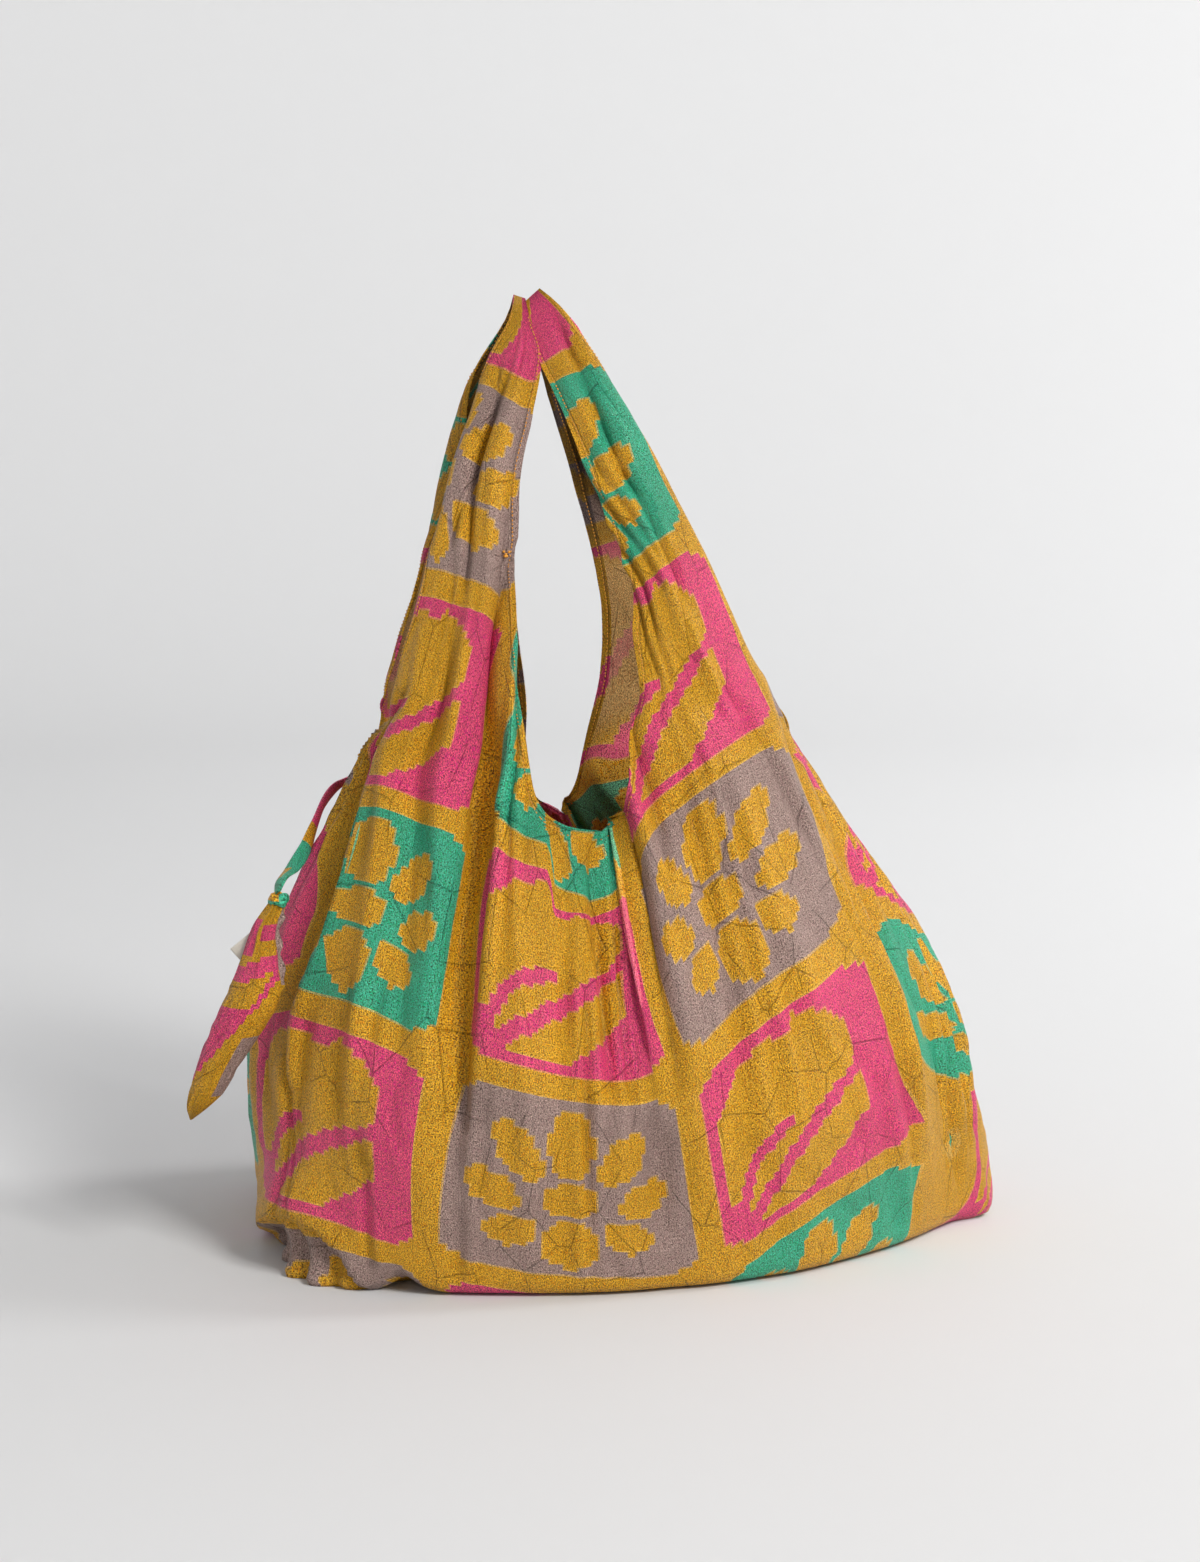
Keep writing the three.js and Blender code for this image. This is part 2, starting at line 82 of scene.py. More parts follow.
def math_node(operation, reflected=False):
    """An operator for shades, which works on the shade and the others, or the other way round."""

    def work(shade, *others):
        return shade.math(operation, *((*others, shade) if reflected else (shade, *others)))

    return work


class Shade:
    """A shader socket that is worked on like a number: each operator adds a Math node."""

    __add__, __radd__ = math_node("ADD"), math_node("ADD", reflected=True)
    __sub__, __rsub__ = math_node("SUBTRACT"), math_node("SUBTRACT", reflected=True)
    __mul__, __rmul__ = math_node("MULTIPLY"), math_node("MULTIPLY", reflected=True)
    __truediv__, __mod__, __pow__ = math_node("DIVIDE"), math_node("FLOORED_MODULO"), math_node("POWER")
    __lt__, __gt__ = math_node("LESS_THAN"), math_node("GREATER_THAN")
    __and__, __or__ = math_node("MINIMUM"), math_node("MAXIMUM")
    __abs__, floor = math_node("ABSOLUTE"), math_node("FLOOR")
    sine, cosine = math_node("SINE"), math_node("COSINE")

    def __init__(self, tree, socket=None):
        self.tree = tree
        self.socket = socket

    def node(self, kind, settings=None, sockets=None, output=0):
        """Any node: its settings go in first, a ramp's stops among them, then its sockets' values or links."""
        made = self.tree.nodes.new("ShaderNode" + kind)
        for name, value in (settings or {}).items():
            if name == "stops":
                for place, _ in value[2:]:
                    made.color_ramp.elements.new(place)
                for element, (place, level) in zip(made.color_ramp.elements, sorted(value)):
                    element.position = place
                    element.color = (level, level, level, 1)
            else:
                setattr(made, name, value)
        for name, value in (sockets or {}).items():
            if isinstance(value, Shade):
                self.tree.links.new(value.socket, made.inputs[name])
            elif isinstance(value, tuple) and made.inputs[name].type == "RGBA":
                made.inputs[name].default_value = (*value, 1)
            else:
                made.inputs[name].default_value = value
        return Shade(self.tree, made.outputs[output])

    def math(self, operation, *values):
        return self.node("Math", {"operation": operation}, dict(enumerate(values)))

    def mix(self, first, second):
        """Between two colours, as this value goes from 0 to 1."""
        sockets = {"Factor": self, 6: first, 7: second}
        return self.node("Mix", {"data_type": "RGBA", "clamp_factor": True}, sockets, output=2)

    def scaled(self, factor):
        """This colour made lighter or darker."""
        return self.node("VectorMath", {"operation": "SCALE"}, {0: self, "Scale": factor})

    def parts(self):
        """The numbers that a vector is made of."""
        split = self.node("SeparateXYZ", None, {0: self}).socket.node
        return [Shade(self.tree, output) for output in split.outputs]

    def ramp(self, *stops):
        """A number for each value from 0 to 1, straight between its stops."""
        return self.node("ValToRGB", {"stops": stops}, {"Fac": self})

    def between(self, low, high):
        """How far this value has come from one number to the other, eased at both."""
        sockets = {"Value": self, "From Min": low, "From Max": high}
        return self.node("MapRange", {"interpolation_type": "SMOOTHSTEP"}, sockets)


def new_material(name):
    """An empty material and the shade that its nodes are made from."""
    material = bpy.data.materials.new(name)
    material.use_nodes = True
    material.node_tree.nodes.clear()
    return material, Shade(material.node_tree)


def finish_material(shade, **sockets):
    """The surface of a material, from its shader's sockets, their names written with _ for each space."""
    values = {name.replace("_", " "): value for name, value in sockets.items()}
    surface = shade.node("BsdfPrincipled", None, values)
    output = shade.tree.nodes.new("ShaderNodeOutputMaterial")
    shade.tree.links.new(surface.socket, output.inputs["Surface"])


def weld(bm, gap=0.02):
    """Closes a shape whose ends meet, and turns its faces outwards."""
    bmesh.ops.remove_doubles(bm, verts=bm.verts, dist=gap)
    bmesh.ops.recalc_face_normals(bm, faces=bm.faces)


def new_piece(name, bm, *materials):
    """A finished object at the origin from a mesh in millimetres."""
    bmesh.ops.scale(bm, vec=(MM, MM, MM), verts=bm.verts)
    mesh = bpy.data.meshes.new(name)
    bm.to_mesh(mesh)
    bm.free()
    mesh.shade_smooth()
    for material in materials:
        mesh.materials.append(material)
    made = bpy.data.objects.new(name, mesh)
    bpy.context.scene.collection.objects.link(made)
    return made


floor_bm = bmesh.new()
flat_reach = FLOOR.reach - FLOOR.cove
profile = [(0, 0), (flat_reach / 2, 0), (flat_reach, 0)]
for step in range(1, FLOOR.cove_steps + 1):
    angle = math.pi / 2 * step / FLOOR.cove_steps
    profile.append((flat_reach + FLOOR.cove * math.sin(angle), FLOOR.cove * (1 - math.cos(angle))))
profile.append((FLOOR.reach, FLOOR.height))
ring = [floor_bm.verts.new((x / MM, 0, z / MM)) for x, z in profile]
line = ring + [floor_bm.edges.new(pair) for pair in zip(ring, ring[1:])]
full_turn = {"angle": 2 * math.pi, "steps": FLOOR.turn_steps, "use_merge": True}
bmesh.ops.spin(floor_bm, geom=line, cent=(0, 0, 0), axis=(0, 0, 1), **full_turn)
weld(floor_bm)
paper, shade = new_material("studio_paper")
grain = shade.node("TexNoise", None, {"Scale": PAPER.grain, "Detail": 3})
albedo = shade.node("MapRange", None, {"Value": grain, "To Min": PAPER.dark, "To Max": PAPER.pale})
finish_material(shade, Base_Color=albedo, Roughness=PAPER.roughness, Specular_IOR_Level=PAPER.specular)
studio_floor = new_piece("studio_floor", floor_bm, paper)

# Front panel
# One piece of crinkled silk, printed in blocks: the front of the bag, its half of the base and both front straps,
# cut in one. It is cut flat below, then draped: s runs across it from its centre line, v runs up it from the row
# of the print that meets the floor.
CLOTH = 1.1
HALF_WIDTH = 385
THROAT, STRAP_TOP = 288, 580
HEM = Named(deep=6.5, soft=3, proud=0.9, stitch_in=5, turned=(9, 9.6))
GRID = Named(columns=232, base_rows=26, body_rows=84, strap_rows=66, closer_below=1.35)

# On the standing bag: what all its places are moved by to stand in the middle, and how its foot, its straps' rolled
# edges and the bottom seam lie
CENTRE = np.array((-3.3, 3.45, 0))
FOOT = Named(round=12, middle_x=12)
STRAP_BLEND = 352
ROLL = Named(turned_after=26, steps=24)
SEAM = Named(x=(-172, 208), bow=35, gap=0.5)


def ease(x, low, high):
    t = np.clip((x - low) / (high - low), 0, 1)
    return t * t * (3 - 2 * t)


def hermite(start, end, start_slope, end_slope, t):
    t2, t3 = t * t, t * t * t
    bent = start * (2 * t3 - 3 * t2 + 1) + end * (3 * t2 - 2 * t3)
    return bent + start_slope * (t3 - 2 * t2 + t) + end_slope * (t3 - t2)


def curves(columns, rows):
    """A table's columns as smooth curves over its first column, all read at once."""
    names = columns.split()
    table = np.array(rows, float)
    at = table[:, 0]
    places = np.arange(len(at))
    before, after = np.maximum(places - 1, 0), np.minimum(places + 1, len(at) - 1)
    slopes = (table[after] - table[before]) / (at[after] - at[before])[:, None]

    def read(x):
        held = np.clip(x, at[0], at[-1])
        i = np.clip(np.searchsorted(at, held) - 1, 0, len(at) - 2)
        span = at[i + 1] - at[i]
        t = (held - at[i]) / span
        values = {}
        for k, name in enumerate(names[1:], 1):
            ends = table[i, k], table[i + 1, k], span * slopes[i, k], span * slopes[i + 1, k]
            values[name] = hermite(*ends, t)
        return Named(**values)

    return read


# The cut edges above the throat: the neck edge and the armhole edge, both measured from the centre line
cut_at = curves("v neck arm", [
    (288, 0, 385),
    (292, 34, 362),
    (302, 62, 330),
    (320, 80, 298),
    (345, 90, 272),
    (400, 108, 250),
    (450, 134, 240),
    (490, 149, 237),
    (580, 149, 237),
])

# Lengthwise lines of the cloth: where each stands on the floor, bends at its belly and ends at the throat
LINE = "s lift x_floor y_floor belly x_belly y_belly x_top y_top z_top"
front_line = curves(LINE, [
    (-385, 48, -221, 28, 0.5, -221, 30, -150, 22, 296),
    (-340, 44, -225, -26, 0.5, -228, -24, -155, -8, 312),
    (-299, 31, -214, -80, 0.5, -217, -64, -154, -40, 318),
    (-270, 30, -199, -120, 0.5, -208, -82, -149, -52, 318),
    (-250, 31, -187, -137, 0.5, -202, -93, -141, -58, 317),
    (-238, 32, -179, -144, 0.5, -199, -100, -140, -66, 315),
    (-229, 33, -172, -150, 0.5, -195, -108, -148, -78, 314),
    (-216, 32, -162, -155, 0.48, -182, -120, -141, -84, 312),
    (-180, 27, -136, -166, 0.45, -148, -146, -118, -95, 304),
    (-137, 21, -106, -171, 0.45, -112, -165, -84, -104, 294),
    (-121, 19, -92, -172, 0.45, -92, -163, -70, -98, 291),
    (-100, 16, -74, -173, 0.45, -72, -172, -60, -104, 287),
    (-60, 10, -34, -174, 0.45, -34, -174, -36, -110, 282),
    (-24, 9, 0, -172, 0.45, -4, -172, -12, -110, 281),
    (6, 10, 28, -167, 0.45, 20, -166, 4, -98, 282),
    (28, 12, 48, -161, 0.45, 34, -158, 8, -92, 286),
    (48, 16, 68, -156, 0.45, 50, -162, 16, -106, 289),
    (80, 32, 98, -143, 0.45, 80, -154, 30, -103, 302),
    (126, 51, 136, -122, 0.44, 124, -136, 66, -92, 320),
    (206, 77, 197, -68, 0.43, 186, -90, 114, -62, 338),
    (296, 94, 243, -10, 0.48, 223, -28, 119, -18, 334),
    (342, 98, 267, 8, 0.5, 230, 10, 122, 8, 322),
    (385, 100, 262, 40, 0.46, 233, 42, 130, 25, 304),
])

# A strap's place up the cloth: its neck edge, its fold edge and how far across the cloth that fold lies, how far
# the strap bows out between them, and how far it curls in past the fold
STATION = "v neck_x neck_y neck_z fold_x fold_y fold_z fold bow curl"
front_left_strap = curves(STATION, [
    (288, -25, -104, 288, -148, -78, 304, 229, 2, 60),
    (310, -37, -96, 318, -137, -80, 333, 236, 8, 110),
    (340, -51, -86, 358, -129, -76, 360, 244, 9, 150),
    (372, -55, -72, 392, -120, -66, 394, 243, 8, 165),
    (405, -55, -58, 422, -110.5, -56, 429, 237, 7, 165),
    (475, -52, -34, 499, -91, -30, 505, 202, 6, 172),
    (520, -44, -22, 542, -77.5, -18, 547, 212, 5, 172),
    (553, -38, -12, 579, -66.5, -9, 580, 226, 3, 140),
    (570, -45, -5, 599, -57.5, -4, 603, 234, 1, 50),
    (580, -48.4, -0.15, 614.5, -56, -0.15, 617, 237, 0, 0),
])
front_right_strap = curves(STATION, [
    (288, 13, -106, 284, 115, -62, 338, 206, 2, 40),
    (310, 15.5, -97, 331, 104, -64, 360, 206, 8, 90),
    (322, 16.5, -93, 346, 99, -64, 370, 206, 8.4, 106),
    (340, 25, -86, 368, 92, -64, 385, 206, 9, 130),
    (372, 22, -72, 399, 79, -60, 416, 206, 8, 155),
    (405, 20, -58, 434, 62, -54, 454, 206, 7, 165),
    (475, -6, -34, 501, 28, -36, 518, 206, 6, 172),
    (520, -25, -22, 547, 3.5, -24, 560, 214, 5, 172),
    (553, -39, -13, 576, -17, -13, 592, 226, 3, 140),
    (570, -46, -5, 596, -28, -5, 611, 234, 1, 50),
    (580, -48, -0.15, 613, -39, -0.15, 621, 237, 0, 0),
])

# The wall at the front left corner slumps over its own foot: its lip stands out at a height above the floor, and
# below it the cloth is tucked in, in small upright folds. Beside it the lower edge lifts off the floor in an arch.
lip_at = curves("s height foot bulge", [
    (-356, 0, 0, 0),
    (-330, 6, -2, 2),
    (-299, 22, -8, 8),
    (-280, 31, -2, 10),
    (-262, 38, 3, 10),
    (-246, 41, 4, 9),
    (-234, 40, 4, 8),
    (-224, 36, 4, 7),
    (-216, 29, 4, 6),
    (-208, 20, 2, 5),
    (-200, 7, 0, 4),
    (-192, -6, 0, 2),
    (-170, -12, 0, 0),
])
LIP = Named(soft=22, under=5, hollow=9, full=9, foot_round=0.34)
LIP_FOLDS = Named(pitch=27, height=5, start=8)
ARCH = Named(middle=-166, reach=20, high=10.5, start=2, deep=26)


# The columns of each half close up above the throat, from the crease and the fold line towards the strap
FRONT = {
    "side": -1,
    "seed": 3.7,
    "gather": 1.1,
    "line": front_line,
    -1: {"strap": front_left_strap, "crease": 129, "fold": 229, "least": 0.22},
    1: {"strap": front_right_strap, "crease": 80, "fold": 206, "least": 0.1},
}

# The front's folds, listed one by one. A height below nought is a trough.
#   from s, v    to s, v     bow width height
FRONT["folds"] = (
    (-126, 440, -114, 90, -4, 6.3, -11.5),
    (-104, 420, -98, 110, 0, 9.9, 6),
    (-200, 425, -146, 120, -4, 8.1, -5.5),
    (-178, 430, -128, 100, 0, 7.2, 4.5),
    (-233, 389, -176, 60, 8, 9.9, 5.5),
    (-248, 350, -246, 20, 26, 9, -4.5),
    (-292, 255, -300, 40, 0, 10.8, 4.5),
    (-12, 285, -3, 120, 0, 9, -10),
    (27, 292, 26, 90, 2, 8, 6),
    (7, 240, 15, 130, 1, 2.6, -4),
    (46, 300, 44, 110, 2, 6, -6),
    (62, 300, 58, 120, 0, 8, 4.5),
    (91, 345, 76, 235, 0, 5.4, -7),
    (-84, 275, -68, -5, 0, 8.1, 4),
    (-46, 292, -28, 40, 0, 8.1, -4.5),
    (12, 110, 20, 20, 4, 7.2, -4),
    (143, 345, 160, 30, -8, 13.5, 4.5),
    (107, 310, 78, 30, 6, 9.9, -4.5),
    (214, 290, 300, -60, -6, 9.9, -4.5),
    (188, 290, 244, -40, -4, 10.8, 4.5),
    (175, 330, 205, 120, 0, 7.2, -4),
    (78, 78, 100, -40, 10, 4, -2.4),
    (110, 36, 182, -46, -6, 4, -2.2),
    (133, 142, 172, 14, -3, 4, -2.4),
    (147, 114, 190, 50, 0, 4, -2.2),
    (87, 297, 176, 152, -8, 4, -2.4),
    (-173, 282, -138, 150, 6, 4, -2),
    (47, 80, 38, 14, 0, 4, -2),
    (-61, 62, -67, 28, 0, 4, -2),
    (-26, 21, 0, -4, 0, 4, -2),
    (-143, 128, -147, 70, -12, 4, -2.2),
    (-200, 122, -199, 80, 0, 4, -2),
    (-236, 90, -266, 0, -2, 5, -3),
    (232, 579, 178, 480, -10, 5.4, -8.5),
    (180, 505, 149, 330, 6, 5.4, -4.5),
    (171, 460, 168, 300, -6, 7.2, 4),
    (172, 476, 186, 440, 0, 4, -2.5),
    (-213, 430, -218, 550, 26, 5.4, -4.5),
    (-150, 380, -176, 545, -6, 7.2, 4.5),
    (-180, 400, -196, 540, 0, 5.4, -4),
)
FOLDS = Named(height=1.55, wander=5, patch=(45, 70, 21), round=0.3, ends=0.5)

# Pleats that take up the cloth between the folds, and the noise that they wander and come and go by: how strong it
# is, how wide and high its patches are
GATHERS = Named(pitch=26, most=4.0, on_strap=0.4, above=THROAT - 20, tightest=0.12, drift=2)
GATHER_WANDER = ((0.9, 75, 300), (0.35, 30, 160))
GATHER_UNEVEN = Named(middle=0.55, noise=1.3, patch=(45, 130), most=1.3)
GATHER_RIDGE = Named(sharp=0.97, peak=1.33)
SLACK = Named(least=0.07, start=20, full=160)

# The small creases that the silk keeps from being crushed: sharp valleys, longer up the cloth than across, and
# others on a slant
#    height wide high seed slant
CRINKLES = (
    (1.5, 15, 46, 5.5, 0),
    (0.9, 9, 21, 8.5, 0),
    (0.9, 60, 14, 2.5, 0.7),
)
CRINKLE_LEVEL = 0.18

# The pleat at the left overlaps the cloth to its left: its edge, how far it laps and how deep the cloth under it
# lies, and how much of the print it hides
pleat_at = curves("v edge lap deep hidden", [
    (100, -246, 0, 0, 0),
    (126, -239, 2, 2, 0),
    (146, -230, 6, 8, 54),
    (190, -222, 7, 10.5, 58),
    (230, -223, 7, 10.5, 56),
    (272, -228, 6, 9, 48),
    (300, -240, 2, 4, 26),
    (340, -255, 0, 0, 12),
])
PLEAT = Named(soft=10, lap_ends=(20, 70), deep_ends=(24, 70), hides=(1, 9))
PLEAT_CALM = Named(most=0.9, deep=(2, 8), middle=4, reach=17)

# The edge at the throat turns under, so no hem shows there: half its width, how much further off the hem's cloth
# counts as, and where that ends
THROAT_HEM = Named(half=30, away=9, ends=(34, 58))

# Where folds and crinkles die out: round a strap's fold, near the floor and near the strap's top
DIE_OUT = Named(past_fold=(-6, 8), crinkles_left=0.5, off_floor=(1, 26), near_top=(545, 578))


def bend(low, belly, top, share, r):
    """A line through its three places, running on straight above the last."""
    rise = ((belly - low) / share, top - low, (top - belly) / (1 - share))
    upper = r > share
    span = np.where(upper, 1 - share, share)
    start, end = np.where(upper, belly, low), np.where(upper, top, belly)
    slopes = span * np.where(upper, rise[1], rise[0]), span * np.where(upper, rise[2], rise[1])
    bent = hermite(start, end, *slopes, np.where(upper, r - share, r) / span)
    return np.where(r > 1, top + rise[2] * (r - 1), bent)


def unit(vectors):
    return vectors / np.maximum(np.linalg.norm(vectors, axis=-1, keepdims=True), 1e-9)


def body_place(panel, s, r):
    """The wall of the bag, r of the way up from the floor to the throat's height."""
    line = panel["line"](s)
    x = bend(line.x_floor, line.x_belly, line.x_top, line.belly, r)
    y = bend(line.y_floor, line.y_belly, line.y_top, line.belly, r)
    z = line.z_top * r
    outward = unit(np.stack((line.x_floor - FOOT.middle_x, line.y_floor), -1))
    out, foot_round = np.zeros_like(z), FOOT.round
    if panel is FRONT:
        lip = lip_at(s)
        over = z - lip.height
        share = np.clip(z / np.maximum(lip.height, 1), 0, 1)
        tuck = np.clip(lip.bulge / LIP.full, 0, 1)
        tucked = lip.foot - LIP.hollow * 4 * share * (1 - share) * tuck
        upright = LIP_FOLDS.height * np.sin(2 * math.pi * s / LIP_FOLDS.pitch)
        upright = upright * ease(-over, 0, LIP_FOLDS.start) * tuck
        under = lip.bulge + (tucked + upright - lip.bulge) * ease(-over, 0, LIP.under)
        out = np.where(over > 0, lip.bulge * np.exp(-((over / LIP.soft) ** 2)), under)
        foot_round = FOOT.round * (1 - (1 - LIP.foot_round) * tuck)
    drop = np.clip(foot_round - z, 0, foot_round)
    out = out + np.sqrt(foot_round**2 - drop**2) - foot_round
    return np.stack((x + outward[..., 0] * out, y + outward[..., 1] * out, z), -1)


def strap_place(panel, hand, v, s):
    """Flat and a little rounded from the neck edge to the fold, then rolled back inside."""
    row = panel[hand]["strap"](v)
    neck = np.stack((row.neck_x, row.neck_y, row.neck_z), -1)
    fold = np.stack((row.fold_x, row.fold_y, row.fold_z), -1)
    cut_neck = cut_at(v).neck
    width = np.linalg.norm(fold - neck, axis=-1)
    flat = row.fold - cut_neck
    t = (s - cut_neck) / flat
    away = np.array((0, panel["side"], 0))
    spread = neck + (fold - neck) * t[..., None] + away * (4 * row.bow * t * (1 - t))[..., None]
    outward = unit(fold - neck)
    draw = np.minimum(1, width / flat)
    first = np.arctan2(4 * row.bow, width)
    step = np.maximum(s - row.fold, 0) / ROLL.steps
    rolled = fold
    for i in range(ROLL.steps):
        heading = first + (np.radians(row.curl) - first) * ease((i + 0.5) * step, 0, ROLL.turned_after)
        turn = outward * np.cos(heading)[..., None] - away * np.sin(heading)[..., None]
        rolled = rolled + turn * (step * draw)[..., None]
    return np.where((t <= 1)[..., None], spread, rolled)


def seam_place(s, side):
    """The bottom seam, which runs across the base from one side seam to the other."""
    t = (s / HALF_WIDTH + 1) / 2
    ends = front_line(np.array((-HALF_WIDTH, HALF_WIDTH))).y_floor
    bow = SEAM.bow * (1 - (s / HALF_WIDTH) ** 2)
    y = ends[0] + (ends[1] - ends[0]) * t - bow + side * SEAM.gap
    return np.stack((SEAM.x[0] + (SEAM.x[1] - SEAM.x[0]) * t, y, np.full_like(s, CLOTH / 2)), -1)


def base_reach(panel, s):
    """How much cloth lies between the floor's edge and the bottom seam."""
    foot = body_place(panel, s, np.zeros_like(s))
    return np.linalg.norm((foot - seam_place(s, panel["side"]))[..., :2], axis=-1)


def closed_up(panel, hand, s, v):
    """Where a column of the body goes on above the throat, as the cut edges close in on the strap."""
    half = panel[hand]
    cut = cut_at(v)
    fold = half["strap"](v).fold
    crease = np.maximum(half["crease"], cut.neck + (fold - cut.neck) * half["least"])
    inner = cut.neck + (crease - cut.neck) * s / half["crease"]
    middle = crease + (fold - crease) * (s - half["crease"]) / (half["fold"] - half["crease"])
    outer = fold + (cut.arm - fold) * (s - half["fold"]) / (HALF_WIDTH - half["fold"])
    return np.where(s <= half["crease"], inner, np.where(s <= half["fold"], middle, outer))


def placed(panel, s, v):
    """Where the flat cloth's point lies on the standing bag, before its folds."""
    lift = panel["line"](s).lift
    place = body_place(panel, s, np.maximum(v + lift, 0) / (THROAT + lift))
    for hand in (-1, 1):
        on_strap = strap_place(panel, hand, np.clip(v, THROAT, STRAP_TOP), np.abs(s))
        share = (ease(v, THROAT, STRAP_BLEND) * (np.sign(s) == hand))[..., None]
        place = place + (on_strap - place) * share
    inward = (np.clip(-lift - v, 0, None) / base_reach(panel, s))[..., None]
    base = body_place(panel, s, np.zeros_like(s))
    base = base + (seam_place(s, panel["side"]) - base) * inward
    base[..., 2] = CLOTH / 2
    return np.where((v < -lift)[..., None], base, place)


def add_grid(bm, columns, rows):
    """A flat grid, and how far each of its points lies across and up it."""
    made = bmesh.ops.create_grid(bm, x_segments=columns, y_segments=rows, size=1)["verts"]
    flat = np.array([vert.co for vert in made])
    return made, (flat[:, 0] + 1) / 2, (flat[:, 1] + 1) / 2


def move_to(verts, places):
    for vert, place in zip(verts, places):
        vert.co = place


def cut_panel(panel):
    """The flat cloth as one mesh, its x and y being s and v."""
    bm = bmesh.new()
    made, across, up = add_grid(bm, GRID.columns, GRID.base_rows + GRID.body_rows)
    s = (2 * across - 1) * HALF_WIDTH
    base_share = GRID.base_rows / (GRID.base_rows + GRID.body_rows)
    lift = panel["line"](s).lift
    below = -lift - base_reach(panel, s) * (1 - up / base_share)
    above = -lift + (THROAT + lift) * (up - base_share) / (1 - base_share)
    move_to(made, np.stack((s, np.where(up < base_share, below, above), 0 * s), -1))
    for hand in (-1, 1):
        made, across, up = add_grid(bm, GRID.columns // 2, GRID.strap_rows)
        v = THROAT + (STRAP_TOP - THROAT) * up ** GRID.closer_below
        column = HALF_WIDTH * (across if hand > 0 else 1 - across)
        move_to(made, np.stack((hand * closed_up(panel, hand, column, v), v, 0 * v), -1))
    bmesh.ops.remove_doubles(bm, verts=bm.verts, dist=0.001)
    return bm


def noise_at(s, v, wide, high, seed):
    """Smooth noise over the flat cloth, about as wide and high as is asked for."""
    return np.array([noise.noise(Vector((a / wide, b / high, seed))) for a, b in zip(s, v)])


def gathers(panel, s, v):
    """Lengthwise pleats take up the cloth where the bag is narrower than its cut."""
    step = 3
    share = np.linalg.norm(placed(panel, s + step, v) - placed(panel, s - step, v), axis=-1) / (2 * step)
    share = np.clip(share, GATHERS.tightest, 1 - SLACK.least * ease(v, SLACK.start, SLACK.full))
    wander = 0
    for more, (strong, *patch) in enumerate(GATHER_WANDER):
        wander = wander + strong * noise_at(s, v, *patch, panel["seed"] + more)
    wave = np.sin(2 * math.pi * (s / GATHERS.pitch + GATHERS.drift * wander))
    ridges = np.arcsin(GATHER_RIDGE.sharp * wave) / GATHER_RIDGE.peak
    uneven = GATHER_UNEVEN.noise * noise_at(s, v, *GATHER_UNEVEN.patch, panel["seed"] + 2)
    uneven = np.clip(GATHER_UNEVEN.middle + uneven, 0, GATHER_UNEVEN.most)
    uneven = uneven * (1 - (1 - GATHERS.on_strap) * ease(v, GATHERS.above, STRAP_BLEND))
    height = GATHERS.pitch * share / math.pi * np.sqrt(1 / share - 1)
    return np.minimum(height, GATHERS.most) * ridges * uneven * panel["gather"]


def folds(panel, s, v):
    """The listed folds: each runs from one place on the flat cloth to another, bowed sideways on its way."""
    s = s + FOLDS.wander * noise_at(s, v, *FOLDS.patch)
    raised = np.zeros_like(s)
    for s0, v0, s1, v1, bow, width, height in panel["folds"]:
        long = (s1 - s0) ** 2 + (v1 - v0) ** 2
        along = np.clip(((s - s0) * (s1 - s0) + (v - v0) * (v1 - v0)) / long, 0, 1)
        aside = s - s0 - (s1 - s0) * along - bow * 4 * along * (1 - along)
        distance = np.hypot(aside, v - v0 - (v1 - v0) * along)
        profile = np.exp(FOLDS.round - np.hypot(distance / width, FOLDS.round))
        raised += FOLDS.height * height * profile * np.sin(math.pi * along) ** FOLDS.ends
    return raised


def crinkles(s, v):
    raised = 0
    for height, wide, high, seed, slant in CRINKLES:
        valleys = np.abs(noise_at(s + slant * v, v - slant * s, wide, high, seed))
        raised = raised + height * (valleys - CRINKLE_LEVEL)
    return raised


def pleat(panel, s, v):
    """How far the cloth slides and sinks under the pleat, the print that is hidden there, and how calm it lies."""
    if panel is not FRONT:
        return Named(slid=0 * s, sunk=0 * s, hidden=0 * s, calm=0 * s)
    row = pleat_at(v)
    under = row.edge - s
    cliff = ease(under, 0, PLEAT.soft)
    calm = PLEAT_CALM.most * ease(row.deep, *PLEAT_CALM.deep)
    return Named(
        slid=row.lap * cliff * (1 - ease(under, *PLEAT.lap_ends)),
        sunk=row.deep * cliff * (1 - ease(under, *PLEAT.deep_ends)),
        hidden=row.hidden * ease(under, *PLEAT.hides),
        calm=calm * np.exp(-(((under - PLEAT_CALM.middle) / PLEAT_CALM.reach) ** 2)),
    )


def from_cut(s, v):
    """How far a place on the flat cloth is from the neck edge or an armhole edge."""
    cut = cut_at(np.maximum(v, THROAT))
    above = np.minimum(np.abs(s) - cut.neck, cut.arm - np.abs(s))
    below = np.hypot(np.maximum(np.abs(s) - THROAT_HEM.half, 0), THROAT - v)
    below = below + THROAT_HEM.away * (1 - ease(np.abs(s), *THROAT_HEM.ends))
    return np.maximum(np.where(v > THROAT, above, below), 0)


